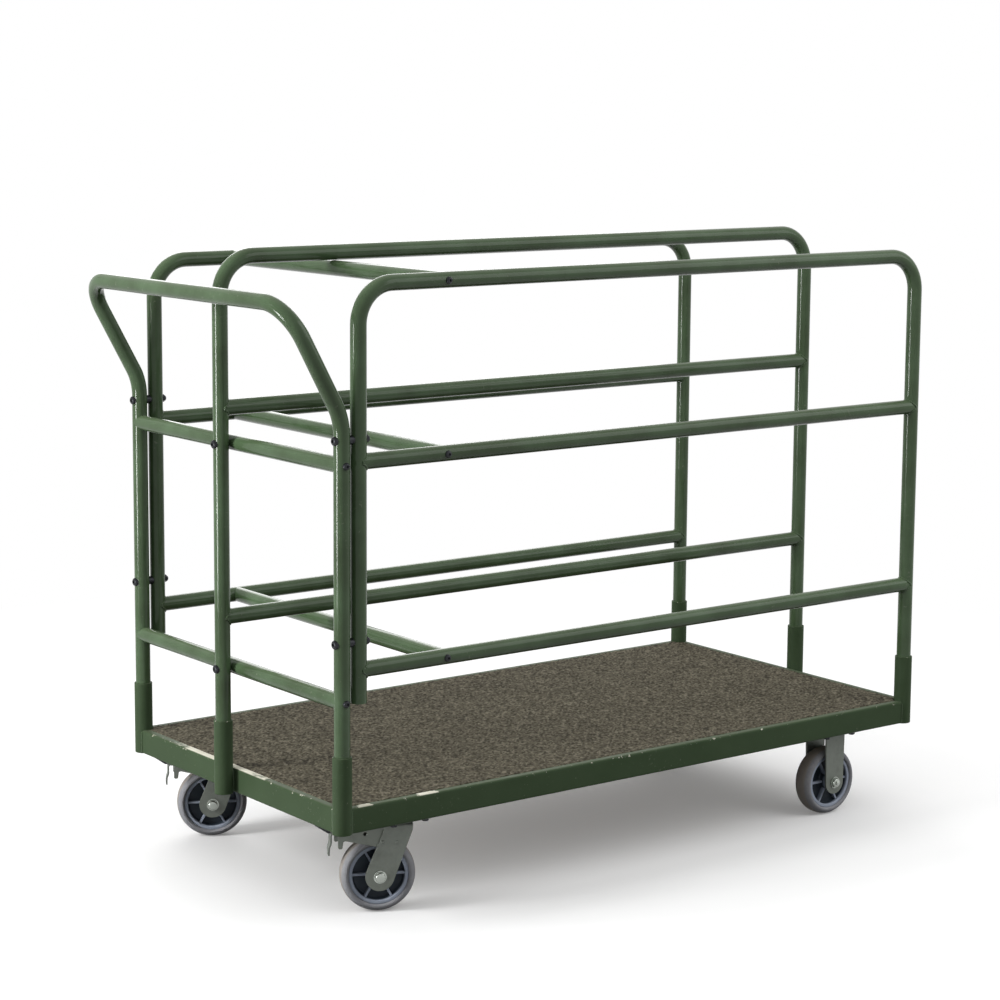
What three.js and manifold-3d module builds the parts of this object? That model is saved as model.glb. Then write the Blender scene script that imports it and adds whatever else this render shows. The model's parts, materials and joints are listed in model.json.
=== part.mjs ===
// A sheet goods cart: a carpeted deck on four casters, with tubular side frames, a divider and a push handle.
// Millimetres, +Z up, the floor at z = 0.
// +X runs from the handle end to the open end, and -Y is the front side.
import * as THREE from "three";
import { mergeVertices } from "three/addons/utils/BufferGeometryUtils.js";
import Module from "manifold-3d";

const wasm = await Module();
wasm.setup();

// Driving dimensions
const GAP = 0.3; // clearance between pieces that touch
const POST_SPACING_X = 1524; // corner sockets, centre to centre along the cart
const POST_SPACING_Y = 762; // corner sockets, centre to centre across the cart
const DECK_BOTTOM = 196.85;
const TUBE_RADIUS = 15.875;
const TUBE_WALL = 2.4;
const BEND_RADIUS = 76.2;
const SOCKET_RADIUS = 19.05;
const SOCKET_BORE_RADIUS = 16.3;
const SOCKET_LENGTH = 152.4;
const TUBE_SIDES = 16;
const BORE_SIDES = 8;

// Heights of tube centre lines above the floor
const SIDE_TOP = 1250;
const SIDE_MID = 915;
const SIDE_LOW = 514;
const END_MID = 911;
const END_LOW = 455;
const DIVIDER_MID = 983;
const DIVIDER_LOW = 560;
const DIVIDER_TOP = SIDE_TOP + 2 * TUBE_RADIUS + GAP; // its top rail lies on the top cross rail
const SHORT_LEG_END = 450; // lower end of the side frames' short legs
const CORNER_BOLT_HEIGHTS = { upper: 958, lower: 569 };

// The push handle leans out from the uprights
const HANDLE_BEND_HEIGHT = 999;
const HANDLE_BEND_RADIUS = 120;
const HANDLE_BAR_HEIGHT = 1219;
const HANDLE_REACH = 122;

// Deck frame of formed channel, joists, board and carpet
const RAIL_HEIGHT = 50.8;
const RAIL_FLANGE = 15.9;
const RAIL_WALL = 3.2;
const RAIL_OFFSET = 13; // from a corner socket's axis out to the rail's face
const JOIST_SIZE = 22.2;
const JOIST_WALL = 2;
const JOIST_POSITIONS = { handle: -300, middle: 0, open: 300 };
const BOARD_THICKNESS = 18;
const CARPET_THICKNESS = 7;
const DECK_EDGE_CLEARANCE = 0.8;

// Casters
const CASTER_X = 588;
const CASTER_Y = 315;
const CHANNEL_WIDTH = 120;
const CHANNEL_WALL = 4;
const PLATE_LENGTH = 102;
const PLATE_WIDTH = 114;
const PLATE_THICKNESS = 7;
const WHEEL_RADIUS = 76.2;
const WHEEL_SIDES = 28;
const TYRE_HALF_WIDTH = 22;
const TREAD_HALF_WIDTH = 5;
const RIM_RADIUS = 60;
const RIM_INNER_RADIUS = 52;
const RIM_HALF_WIDTH = 18;
const WEB_HALF_WIDTH = 3;
const HUB_RADIUS = 19;
const HUB_HALF_WIDTH = 25.5;
const AXLE_RADIUS = 5;
const RIB_COUNT = 6;
const RIB_HALF_DEPTH = 12;
const RIB_HALF_WIDTH = 2.5;
const CASTER_TRAIL = 39;
const FORK_INNER_HALF_WIDTH = 28.5;
const FORK_THICKNESS = 4.5;
const SWIVEL_RACE_HEIGHT = 5;
// Headings of the two swivel casters: which way each wheel trails, in degrees from +X
const FRONT_HEADING = 155;
const BACK_HEADING = 152;

// Derived positions
const POST_X = POST_SPACING_X / 2;
const POST_Y = POST_SPACING_Y / 2;
const RAIL_FACE_X = POST_X + RAIL_OFFSET;
const RAIL_FACE_Y = POST_Y + RAIL_OFFSET;
const MIDDLE_POST_X = RAIL_FACE_X + SOCKET_RADIUS + GAP;
const SHORT_LEG_X = -POST_X + 38.1; // a spacer's width away from the handle upright
const CROSS_RAIL_X = -525;
const POST_FOOT = DECK_BOTTOM + 3;
const HANDLE_BAR_X = -POST_X - HANDLE_REACH;
const CENTRE_SHIFT = -(HANDLE_BAR_X - TUBE_RADIUS + MIDDLE_POST_X + SOCKET_RADIUS) / 2;
// the wheel stands on one flat of its tread
const AXLE_HEIGHT = WHEEL_RADIUS * Math.cos(Math.PI / WHEEL_SIDES);
const PLATE_TOP = DECK_BOTTOM - GAP;
const PLATE_BOTTOM = PLATE_TOP - PLATE_THICKNESS;
const CROWN_TOP = PLATE_BOTTOM - SWIVEL_RACE_HEIGHT - 2 * GAP;

function paint(color, roughness, metalness) {
  return new THREE.MeshStandardMaterial({ color, roughness, metalness });
}
const GREEN_ENAMEL = paint("#4d6145", 0.45, 0.1);
const CARPET = paint("#6b635b", 1, 0);
const PLYWOOD = paint("#b08d5c", 0.8, 0);
const ZINC = paint("#9a9d98", 0.4, 0.9);
const TYRE_RUBBER = paint("#80818a", 0.75, 0);
const WHEEL_PLASTIC = paint("#6d7482", 0.5, 0);
const BLACK_STEEL = paint("#1d1e1e", 0.4, 0.8);

const cart = new THREE.Group();
cart.position.x = CENTRE_SHIFT;

function addPiece(name, geometry, material, parent = cart) {
  const mesh = new THREE.Mesh(geometry, material);
  mesh.name = name;
  parent.add(mesh);
  return mesh;
}

// Joining and cutting of closed geometries
function solidOf(geometry) {
  const plain = geometry.clone();
  plain.deleteAttribute("normal");
  plain.deleteAttribute("uv");
  const merged = mergeVertices(plain, 1e-3);
  return new wasm.Manifold(
    new wasm.Mesh({
      numProp: 3,
      vertProperties: new Float32Array(merged.attributes.position.array),
      triVerts: new Uint32Array(merged.index.array),
    }),
  );
}

function geometryOf(solid) {
  const mesh = solid.getMesh();
  const geometry = new THREE.BufferGeometry();
  geometry.setAttribute("position", new THREE.BufferAttribute(mesh.vertProperties, 3));
  geometry.setIndex(new THREE.BufferAttribute(mesh.triVerts, 1));
  geometry.computeVertexNormals();
  return geometry;
}

function join(...geometries) {
  return geometryOf(geometries.map(solidOf).reduce((whole, piece) => whole.add(piece)));
}

function cut(geometry, ...cutters) {
  return geometryOf(cutters.map(solidOf).reduce((rest, cutter) => rest.subtract(cutter), solidOf(geometry)));
}

// Plain shapes in place
function box(x0, x1, y0, y1, z0, z1) {
  const geometry = new THREE.BoxGeometry(x1 - x0, y1 - y0, z1 - z0);
  return geometry.translate((x0 + x1) / 2, (y0 + y1) / 2, (z0 + z1) / 2);
}

function cylinderX(radius, x0, x1, y, z) {
  const geometry = new THREE.CylinderGeometry(radius, radius, x1 - x0, TUBE_SIDES);
  return geometry.rotateZ(-Math.PI / 2).translate((x0 + x1) / 2, y, z);
}

function cylinderY(radius, x, y0, y1, z) {
  return new THREE.CylinderGeometry(radius, radius, y1 - y0, TUBE_SIDES).translate(x, (y0 + y1) / 2, z);
}

function cylinderZ(radius, x, y, z0, z1) {
  const geometry = new THREE.CylinderGeometry(radius, radius, z1 - z0, TUBE_SIDES);
  return geometry.rotateX(Math.PI / 2).translate(x, y, (z0 + z1) / 2);
}

function extrudeAlongY(shape, y0, y1) {
  // the shape's x stays x, and its y becomes z
  const settings = { depth: y1 - y0, bevelEnabled: false, curveSegments: 10 };
  const geometry = new THREE.ExtrudeGeometry(shape, settings);
  return geometry.rotateX(Math.PI / 2).translate(0, y1, 0);
}

function shapeOf(points) {
  return new THREE.Shape(points.map(([x, y]) => new THREE.Vector2(x, y)));
}

// A route of straight runs with round bends, stepped where it bends and nowhere else
class BentRoute extends THREE.Curve {
  constructor(corners, radii) {
    super();
    this.points = [corners[0]];
    this.tangents = [corners[1].clone().sub(corners[0]).normalize()];
    for (let i = 1; i < corners.length - 1; i++) {
      this.addBend(corners[i - 1], corners[i], corners[i + 1], radii[i - 1]);
    }
    const last = corners[corners.length - 1];
    this.points.push(last);
    this.tangents.push(last.clone().sub(corners[corners.length - 2]).normalize());
  }

  addBend(before, corner, after, radius) {
    const into = corner.clone().sub(before).normalize();
    const out = after.clone().sub(corner).normalize();
    const turn = into.angleTo(out);
    const inward = out.clone().sub(into.clone().multiplyScalar(into.dot(out))).normalize();
    const start = corner.clone().addScaledVector(into, -radius * Math.tan(turn / 2));
    const centre = start.clone().addScaledVector(inward, radius);
    const steps = Math.ceil(turn / (Math.PI / 12));
    for (let k = 0; k <= steps; k++) {
      const angle = (turn * k) / steps;
      const point = centre.clone();
      point.addScaledVector(into, radius * Math.sin(angle));
      point.addScaledVector(inward, -radius * Math.cos(angle));
      this.points.push(point);
      const tangent = into.clone().multiplyScalar(Math.cos(angle));
      this.tangents.push(tangent.addScaledVector(inward, Math.sin(angle)));
    }
  }

  getPointAt(u) {
    return this.points[Math.round(u * (this.points.length - 1))].clone();
  }

  getTangentAt(u) {
    return this.tangents[Math.round(u * (this.points.length - 1))].clone();
  }
}

function circle(path, radius, sides) {
  const points = [];
  for (let i = 0; i < sides; i++) {
    const angle = (2 * Math.PI * i) / sides;
    points.push(new THREE.Vector2(radius * Math.cos(angle), radius * Math.sin(angle)));
  }
  return path.setFromPoints(points);
}

function ringShape(outer, inner, innerSides) {
  const shape = circle(new THREE.Shape(), outer, TUBE_SIDES);
  shape.holes.push(circle(new THREE.Path(), inner, innerSides));
  return shape;
}

const TUBE_SECTION = ringShape(TUBE_RADIUS, TUBE_RADIUS - TUBE_WALL, BORE_SIDES);

function tube(points, radii = []) {
  const route = new BentRoute(points.map((p) => new THREE.Vector3(...p)), radii);
  return new THREE.ExtrudeGeometry(TUBE_SECTION, { steps: route.points.length - 1, extrudePath: route });
}

// A turned piece: its profile gives radius and height along its own axis, and starts and ends on the axis
function turned(profile, sides) {
  return new THREE.LatheGeometry(profile.map(([r, h]) => new THREE.Vector2(r, h)), sides);
}

// The coped end of a rail leaves a little room round the tube that it meets
const COPE_RADIUS = TUBE_RADIUS + GAP + 0.2;

function railAlongX(x0, x1, y, z) {
  const reach = 2 * TUBE_RADIUS;
  const ends = [x0, x1].map((x) => cylinderZ(COPE_RADIUS, x, y, z - reach, z + reach));
  return cut(tube([[x0, y, z], [x1, y, z]]), ...ends);
}

function railBetweenPosts(x, z) {
  const reach = 2 * TUBE_RADIUS;
  const ends = [-POST_Y, POST_Y].map((y) => cylinderZ(COPE_RADIUS, x, y, z - reach, z + reach));
  return cut(tube([[x, -POST_Y, z], [x, POST_Y, z]]), ...ends);
}

function railBetweenSides(x, z) {
  const reach = 2 * TUBE_RADIUS;
  const ends = [-POST_Y, POST_Y].map((y) => cylinderX(COPE_RADIUS, x - reach, x + reach, y, z));
  return cut(tube([[x, -POST_Y, z], [x, POST_Y, z]]), ...ends);
}

// Deck frame: four channel rails, coped round the corner sockets
const CHANNEL_SECTION = shapeOf([
  [0, 0],
  [RAIL_FLANGE, 0],
  [RAIL_FLANGE, RAIL_WALL],
  [RAIL_WALL, RAIL_WALL],
  [RAIL_WALL, RAIL_HEIGHT - RAIL_WALL],
  [RAIL_FLANGE, RAIL_HEIGHT - RAIL_WALL],
  [RAIL_FLANGE, RAIL_HEIGHT],
  [0, RAIL_HEIGHT],
]);
const SOCKET_COPE = SOCKET_RADIUS + GAP + 0.2;
const RAIL_END_INSET = 10;

function cornerCutters(radius) {
  const cutters = [];
  for (const x of [-POST_X, POST_X]) {
    for (const y of [-POST_Y, POST_Y]) {
      cutters.push(cylinderZ(radius, x, y, DECK_BOTTOM - 1, DECK_BOTTOM + 2 * RAIL_HEIGHT));
    }
  }
  return cutters;
}

function deckRail(halfLength, faceDistance, heading) {
  const channel = extrudeAlongY(CHANNEL_SECTION, -halfLength, halfLength);
  channel.translate(-faceDistance, 0, DECK_BOTTOM).rotateZ(heading);
  return cut(channel, ...cornerCutters(SOCKET_COPE));
}

const END_RAIL_HALF = POST_Y - RAIL_END_INSET;
const SIDE_RAIL_HALF = POST_X - RAIL_END_INSET;
addPiece("deck_rail_handle_end", deckRail(END_RAIL_HALF, RAIL_FACE_X, 0), GREEN_ENAMEL);
addPiece("deck_rail_open_end", deckRail(END_RAIL_HALF, RAIL_FACE_X, Math.PI), GREEN_ENAMEL);
addPiece("deck_rail_front", deckRail(SIDE_RAIL_HALF, RAIL_FACE_Y, Math.PI / 2), GREEN_ENAMEL);
addPiece("deck_rail_back", deckRail(SIDE_RAIL_HALF, RAIL_FACE_Y, -Math.PI / 2), GREEN_ENAMEL);

// Square tube joists lie on the rails' lower flanges and carry the board
const JOIST_BOTTOM = DECK_BOTTOM + RAIL_WALL + GAP;
const JOIST_TOP = JOIST_BOTTOM + JOIST_SIZE;
const JOIST_HALF_LENGTH = RAIL_FACE_Y - RAIL_WALL - GAP;
for (const [place, x] of Object.entries(JOIST_POSITIONS)) {
  const half = JOIST_SIZE / 2;
  const outer = box(x - half, x + half, -JOIST_HALF_LENGTH, JOIST_HALF_LENGTH, JOIST_BOTTOM, JOIST_TOP);
  const inside = half - JOIST_WALL;
  const boreBottom = JOIST_BOTTOM + JOIST_WALL;
  const boreTop = JOIST_TOP - JOIST_WALL;
  const bore = box(x - inside, x + inside, -POST_X, POST_X, boreBottom, boreTop);
  addPiece(`deck_joist_${place}`, cut(outer, bore), GREEN_ENAMEL);
}

// Board and carpet fill the frame between the rails' upper flanges
function deckLayer(bottom, thickness) {
  const halfX = RAIL_FACE_X - RAIL_FLANGE - DECK_EDGE_CLEARANCE;
  const halfY = RAIL_FACE_Y - RAIL_FLANGE - DECK_EDGE_CLEARANCE;
  const layer = box(-halfX, halfX, -halfY, halfY, bottom, bottom + thickness);
  return cut(layer, ...cornerCutters(SOCKET_COPE + DECK_EDGE_CLEARANCE));
}

const BOARD_BOTTOM = JOIST_TOP + GAP;
const CARPET_BOTTOM = BOARD_BOTTOM + BOARD_THICKNESS + GAP;
addPiece("deck_board", deckLayer(BOARD_BOTTOM, BOARD_THICKNESS), PLYWOOD);
addPiece("deck_carpet", deckLayer(CARPET_BOTTOM, CARPET_THICKNESS), CARPET);

// Post sockets: four in the corners and one outside the middle of each end rail
const SOCKET_SECTION = ringShape(SOCKET_RADIUS, SOCKET_BORE_RADIUS, TUBE_SIDES);
const SOCKET_PLACES = {
  front_handle: [-POST_X, -POST_Y],
  back_handle: [-POST_X, POST_Y],
  middle_handle: [-MIDDLE_POST_X, 0],
  front_open: [POST_X, -POST_Y],
  back_open: [POST_X, POST_Y],
  middle_open: [MIDDLE_POST_X, 0],
};
for (const [place, [x, y]] of Object.entries(SOCKET_PLACES)) {
  const socket = new THREE.ExtrudeGeometry(SOCKET_SECTION, { depth: SOCKET_LENGTH, bevelEnabled: false });
  addPiece(`post_socket_${place}`, socket.translate(x, y, DECK_BOTTOM), GREEN_ENAMEL);
}

// Through bolts tie the handle frame to the side frames and the divider post to the end rails
const BOLT_RADIUS = 4;
const BOLT_HOLE_RADIUS = BOLT_RADIUS + 0.5;
const BOLT_HEAD_RADIUS = 9;
const BOLT_HEAD_HEIGHT = 5;
const NUT_RADIUS = 8;
const NUT_HEIGHT = 9;
const BOLT_SIDES = 10;

// A domed bolt with its acorn nut, through two tubes at x0 and x1, with a spacer where they stand apart
function throughBolt(x0, x1) {
  const head = x0 - TUBE_RADIUS - GAP;
  const nut = x1 + TUBE_RADIUS + GAP;
  const spacerStart = x0 + TUBE_RADIUS + GAP;
  const spacerEnd = x1 - TUBE_RADIUS - GAP;
  const profile = [
    [0, head - BOLT_HEAD_HEIGHT],
    [BOLT_HEAD_RADIUS * 0.6, head - BOLT_HEAD_HEIGHT * 0.85],
    [BOLT_HEAD_RADIUS, head - BOLT_HEAD_HEIGHT * 0.3],
    [BOLT_HEAD_RADIUS, head],
    [BOLT_RADIUS, head],
  ];
  if (spacerEnd - spacerStart > 1) {
    profile.push([BOLT_RADIUS, spacerStart], [BOLT_HEAD_RADIUS, spacerStart]);
    profile.push([BOLT_HEAD_RADIUS, spacerEnd], [BOLT_RADIUS, spacerEnd]);
  }
  profile.push([BOLT_RADIUS, nut], [NUT_RADIUS, nut], [NUT_RADIUS, nut + NUT_HEIGHT * 0.6]);
  profile.push([NUT_RADIUS * 0.5, nut + NUT_HEIGHT], [0, nut + NUT_HEIGHT]);
  return turned(profile, BOLT_SIDES).rotateZ(-Math.PI / 2);
}

function boltHole(x0, x1, y, z) {
  return cylinderX(BOLT_HOLE_RADIUS, x0 - 2 * TUBE_RADIUS, x1 + 2 * TUBE_RADIUS, y, z);
}

const SIDES = { front: -POST_Y, back: POST_Y };
const END_RAIL_HEIGHTS = { mid: END_MID, low: END_LOW };
for (const [side, y] of Object.entries(SIDES)) {
  for (const [level, z] of Object.entries(CORNER_BOLT_HEIGHTS)) {
    const bolt = throughBolt(-POST_X, SHORT_LEG_X);
    addPiece(`corner_bolt_${side}_${level}`, bolt.translate(0, y, z), BLACK_STEEL);
  }
}
for (const [level, z] of Object.entries(END_RAIL_HEIGHTS)) {
  addPiece(`divider_bolt_${level}`, throughBolt(-MIDDLE_POST_X, -POST_X).translate(0, 0, z), BLACK_STEEL);
}

// Handle frame: one bent tube from the back socket over to the front socket, and two cross rails
function handleArm(y) {
  return [
    [-POST_X, y, POST_FOOT],
    [-POST_X, y, HANDLE_BEND_HEIGHT],
    [HANDLE_BAR_X, y, HANDLE_BAR_HEIGHT],
  ];
}

const handleRadii = [HANDLE_BEND_RADIUS, BEND_RADIUS, BEND_RADIUS, HANDLE_BEND_RADIUS];
const handleTube = tube([...handleArm(POST_Y), ...handleArm(-POST_Y).reverse()], handleRadii);
const cornerHoles = Object.values(SIDES).flatMap((y) =>
  Object.values(CORNER_BOLT_HEIGHTS).map((z) => boltHole(-POST_X, SHORT_LEG_X, y, z)),
);
addPiece("handle_tube", cut(handleTube, ...cornerHoles), GREEN_ENAMEL);

const dividerHoles = Object.values(END_RAIL_HEIGHTS).map((z) => boltHole(-MIDDLE_POST_X, -POST_X, 0, z));
for (const [level, z] of Object.entries(END_RAIL_HEIGHTS)) {
  addPiece(`end_rail_${level}`, cut(railBetweenPosts(-POST_X, z), ...dividerHoles), GREEN_ENAMEL);
}

// Side frames: a hoop with a short leg at the handle end and a long leg in the open-end socket, and two rails
for (const [side, y] of Object.entries(SIDES)) {
  const hoop = tube(
    [
      [SHORT_LEG_X, y, SHORT_LEG_END],
      [SHORT_LEG_X, y, SIDE_TOP],
      [POST_X, y, SIDE_TOP],
      [POST_X, y, POST_FOOT],
    ],
    [BEND_RADIUS, BEND_RADIUS],
  );
  addPiece(`${side}_hoop`, cut(hoop, ...cornerHoles), GREEN_ENAMEL);
  addPiece(`${side}_rail_mid`, railAlongX(SHORT_LEG_X, POST_X, y, SIDE_MID), GREEN_ENAMEL);
  addPiece(`${side}_rail_low`, railAlongX(SHORT_LEG_X, POST_X, y, SIDE_LOW), GREEN_ENAMEL);
}

// Divider: a taller hoop down the middle of the deck, between the two middle sockets, and two rails
const dividerHoop = tube(
  [
    [-MIDDLE_POST_X, 0, POST_FOOT],
    [-MIDDLE_POST_X, 0, DIVIDER_TOP],
    [MIDDLE_POST_X, 0, DIVIDER_TOP],
    [MIDDLE_POST_X, 0, POST_FOOT],
  ],
  [BEND_RADIUS, BEND_RADIUS],
);
addPiece("divider_hoop", cut(dividerHoop, ...dividerHoles), GREEN_ENAMEL);
addPiece("divider_rail_mid", railAlongX(-MIDDLE_POST_X, MIDDLE_POST_X, 0, DIVIDER_MID), GREEN_ENAMEL);
addPiece("divider_rail_low", railAlongX(-MIDDLE_POST_X, MIDDLE_POST_X, 0, DIVIDER_LOW), GREEN_ENAMEL);

// Cross rails from side frame to side frame close off the bay at the handle end
const CROSS_RAIL_HEIGHTS = { top: SIDE_TOP, mid: SIDE_MID, low: SIDE_LOW };
for (const [level, z] of Object.entries(CROSS_RAIL_HEIGHTS)) {
  addPiece(`cross_rail_${level}`, railBetweenSides(CROSS_RAIL_X, z), GREEN_ENAMEL);
}

// Caster channels: let in between the lower flanges of the long rails, flush with the underside of the frame.
// The board lies on their walls, and the caster plates bolt to them from below.
for (const [place, x] of Object.entries({ handle_end: -CASTER_X, open_end: CASTER_X })) {
  const half = CHANNEL_WIDTH / 2;
  const inside = half - CHANNEL_WALL;
  const length = RAIL_FACE_Y - RAIL_FLANGE - GAP;
  const outer = box(x - half, x + half, -length, length, DECK_BOTTOM, JOIST_TOP);
  const troughBottom = DECK_BOTTOM + CHANNEL_WALL;
  const trough = box(x - inside, x + inside, -2 * length, 2 * length, troughBottom, 2 * JOIST_TOP);
  addPiece(`caster_channel_${place}`, cut(outer, trough), GREEN_ENAMEL);
}

// Caster pieces, made about the axle of a wheel at the origin of a group with its axle along Y
const TYRE_PROFILE = [
  [RIM_RADIUS + GAP, -RIM_HALF_WIDTH],
  [RIM_RADIUS + 2.5, -TYRE_HALF_WIDTH + 1.2],
  [RIM_RADIUS + 6, -TYRE_HALF_WIDTH],
  [WHEEL_RADIUS - 5.5, -TYRE_HALF_WIDTH + 3],
  [WHEEL_RADIUS - 1.6, -TYRE_HALF_WIDTH + 9.5],
  [WHEEL_RADIUS, -TREAD_HALF_WIDTH],
  [WHEEL_RADIUS, TREAD_HALF_WIDTH],
  [WHEEL_RADIUS - 1.6, TYRE_HALF_WIDTH - 9.5],
  [WHEEL_RADIUS - 5.5, TYRE_HALF_WIDTH - 3],
  [RIM_RADIUS + 6, TYRE_HALF_WIDTH],
  [RIM_RADIUS + 2.5, TYRE_HALF_WIDTH - 1.2],
  [RIM_RADIUS + GAP, RIM_HALF_WIDTH],
  [RIM_RADIUS + GAP, -RIM_HALF_WIDTH],
];

function tyreGeometry() {
  const points = TYRE_PROFILE.map(([r, h]) => new THREE.Vector2(r, h));
  return new THREE.LatheGeometry(points, WHEEL_SIDES, Math.PI / WHEEL_SIDES);
}

// A pipe about the Y axis
function ringY(outer, inner, halfWidth) {
  const profile = [
    [inner, -halfWidth],
    [outer, -halfWidth],
    [outer, halfWidth],
    [inner, halfWidth],
    [inner, -halfWidth],
  ];
  const points = profile.map(([r, h]) => new THREE.Vector2(r, h));
  return new THREE.LatheGeometry(points, WHEEL_SIDES, Math.PI / WHEEL_SIDES);
}

function wheelCoreGeometry() {
  const bore = AXLE_RADIUS + 0.5;
  const rim = ringY(RIM_RADIUS - GAP, RIM_INNER_RADIUS, RIM_HALF_WIDTH);
  const web = ringY(RIM_INNER_RADIUS + 2, HUB_RADIUS - 3, WEB_HALF_WIDTH);
  const hub = ringY(HUB_RADIUS, bore, HUB_HALF_WIDTH);
  const ribs = [];
  for (let i = 0; i < RIB_COUNT; i++) {
    const reach = RIM_INNER_RADIUS + 2;
    const rib = box(HUB_RADIUS - 3, reach, -RIB_HALF_DEPTH, RIB_HALF_DEPTH, -RIB_HALF_WIDTH, RIB_HALF_WIDTH);
    ribs.push(rib.rotateY((2 * Math.PI * i) / RIB_COUNT));
  }
  return join(rim, web, hub, ...ribs);
}

function axleBoltGeometry() {
  const leg = FORK_INNER_HALF_WIDTH + FORK_THICKNESS + GAP;
  const headHeight = 7;
  const headRadius = 10;
  const profile = [
    [0, -leg - headHeight],
    [headRadius, -leg - headHeight],
    [headRadius, -leg],
    [AXLE_RADIUS, -leg],
    [AXLE_RADIUS, leg],
    [headRadius, leg],
    [headRadius, leg + headHeight],
    [0, leg + headHeight],
  ];
  return turned(profile, BOLT_SIDES);
}

function addWheel(caster, group) {
  addPiece(`tyre_${caster}`, tyreGeometry(), TYRE_RUBBER, group);
  addPiece(`wheel_core_${caster}`, wheelCoreGeometry(), WHEEL_PLASTIC, group);
  addPiece(`axle_bolt_${caster}`, axleBoltGeometry(), ZINC, group);
}

function plateGeometry(top) {
  const halfLength = PLATE_LENGTH / 2;
  const halfWidth = PLATE_WIDTH / 2;
  return box(-halfLength, halfLength, -halfWidth, halfWidth, top - PLATE_THICKNESS, top);
}

// Both legs of a fork from one side profile, whose round boss carries the axle
function forkLegs(profile) {
  const inner = FORK_INNER_HALF_WIDTH;
  const outer = inner + FORK_THICKNESS;
  return [extrudeAlongY(profile, -outer, -inner), extrudeAlongY(profile, inner, outer)];
}

function legProfile(topLeft, topRight, top, axleX, bossRadius, sideAngle) {
  const profile = new THREE.Shape();
  profile.moveTo(topLeft, top);
  profile.lineTo(topLeft, top - 14);
  profile.absarc(axleX, AXLE_HEIGHT, bossRadius, Math.PI + sideAngle, 2 * Math.PI + sideAngle, false);
  profile.lineTo(topRight, top - 14);
  profile.lineTo(topRight, top);
  return profile;
}

const AXLE_HOLE_RADIUS = AXLE_RADIUS + 0.5;

function axleHole(x) {
  return cylinderY(AXLE_HOLE_RADIUS, x, -PLATE_WIDTH, PLATE_WIDTH, AXLE_HEIGHT);
}

// Rigid casters at the open end: plate and legs are one welded fork
const RIGID_LEG_HALF_WIDTH = 28;
const RIGID_BOSS_RADIUS = 26;
const rigidProfile = legProfile(
  -RIGID_LEG_HALF_WIDTH,
  RIGID_LEG_HALF_WIDTH,
  PLATE_TOP - 1,
  0,
  RIGID_BOSS_RADIUS,
  0,
);
for (const [side, y] of Object.entries({ front: -CASTER_Y, back: CASTER_Y })) {
  const caster = `${side}_rigid`;
  const group = new THREE.Group();
  group.position.set(CASTER_X, y, 0);
  cart.add(group);
  const fork = cut(join(plateGeometry(PLATE_TOP), ...forkLegs(rigidProfile)), axleHole(0));
  addPiece(`fork_${caster}`, fork, ZINC, group);
  const wheel = new THREE.Group();
  wheel.position.z = AXLE_HEIGHT;
  group.add(wheel);
  addWheel(caster, wheel);
}

// Swivel casters at the handle end: plate, ball race with kingpin, raked fork, wheel and brake pedal
const KINGPIN_RADIUS = 8;
const KINGPIN_NUT_RADIUS = 13;
const KINGPIN_NUT_HEIGHT = 4.5;
const CROWN_THICKNESS = 4.5;
const CROWN_BOTTOM = CROWN_TOP - CROWN_THICKNESS;
const CROWN_FRONT = -27;
const CROWN_REAR = 31;
const SWIVEL_BOSS_RADIUS = 29;
const RAKE_ANGLE = 0.3;

function swivelRaceGeometry() {
  const top = PLATE_BOTTOM - GAP;
  const raceBottom = CROWN_TOP + GAP;
  const nutTop = CROWN_BOTTOM - GAP;
  const profile = [
    [0, nutTop - KINGPIN_NUT_HEIGHT],
    [KINGPIN_NUT_RADIUS, nutTop - KINGPIN_NUT_HEIGHT],
    [KINGPIN_NUT_RADIUS, nutTop],
    [KINGPIN_RADIUS, nutTop],
    [KINGPIN_RADIUS, raceBottom],
    [28, raceBottom],
    [33, (raceBottom + top) / 2],
    [30, top],
    [0, top],
  ];
  return turned(profile, 16).rotateX(Math.PI / 2);
}

// The fork's brake bracket: a channel turned over the tyre, whose side walls run back to hold the pedal
const BRACKET_START = 20;
const BRACKET_ROOF_END = 86;
const BRACKET_OUTER = FORK_INNER_HALF_WIDTH + 0.5;
const BRACKET_INNER = 24.5;
const BRACKET_TOP = CROWN_BOTTOM + 0.5;
const BRACKET_ROOF = 4;
const BRACKET_WALL = [
  [BRACKET_START, BRACKET_TOP],
  [100, BRACKET_TOP],
  [110, BRACKET_TOP - 10],
  [108, 151],
  [46, 136],
  [BRACKET_START, 150],
];
const PEDAL_PIVOT_X = 98;
const PEDAL_PIVOT_Z = 160;
const PEDAL_HALF_WIDTH = BRACKET_INNER - 0.5;

function swivelForkGeometry() {
  const outer = FORK_INNER_HALF_WIDTH + FORK_THICKNESS;
  const top = CROWN_TOP - 1;
  const rake = legProfile(CROWN_FRONT, CROWN_REAR, top, CASTER_TRAIL, SWIVEL_BOSS_RADIUS, RAKE_ANGLE);
  const crown = box(CROWN_FRONT, CROWN_REAR, -outer, outer, CROWN_BOTTOM, CROWN_TOP);
  const roof = box(
    BRACKET_START,
    BRACKET_ROOF_END,
    -BRACKET_OUTER,
    BRACKET_OUTER,
    BRACKET_TOP - BRACKET_ROOF,
    BRACKET_TOP,
  );
  const walls = [
    extrudeAlongY(shapeOf(BRACKET_WALL), -BRACKET_OUTER, -BRACKET_INNER),
    extrudeAlongY(shapeOf(BRACKET_WALL), BRACKET_INNER, BRACKET_OUTER),
  ];
  const kingpinHole = cylinderZ(KINGPIN_RADIUS + 0.5, 0, 0, CROWN_BOTTOM - 10, PLATE_TOP);
  return cut(join(crown, roof, ...walls, ...forkLegs(rake)), kingpinHole, axleHole(CASTER_TRAIL));
}

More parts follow.
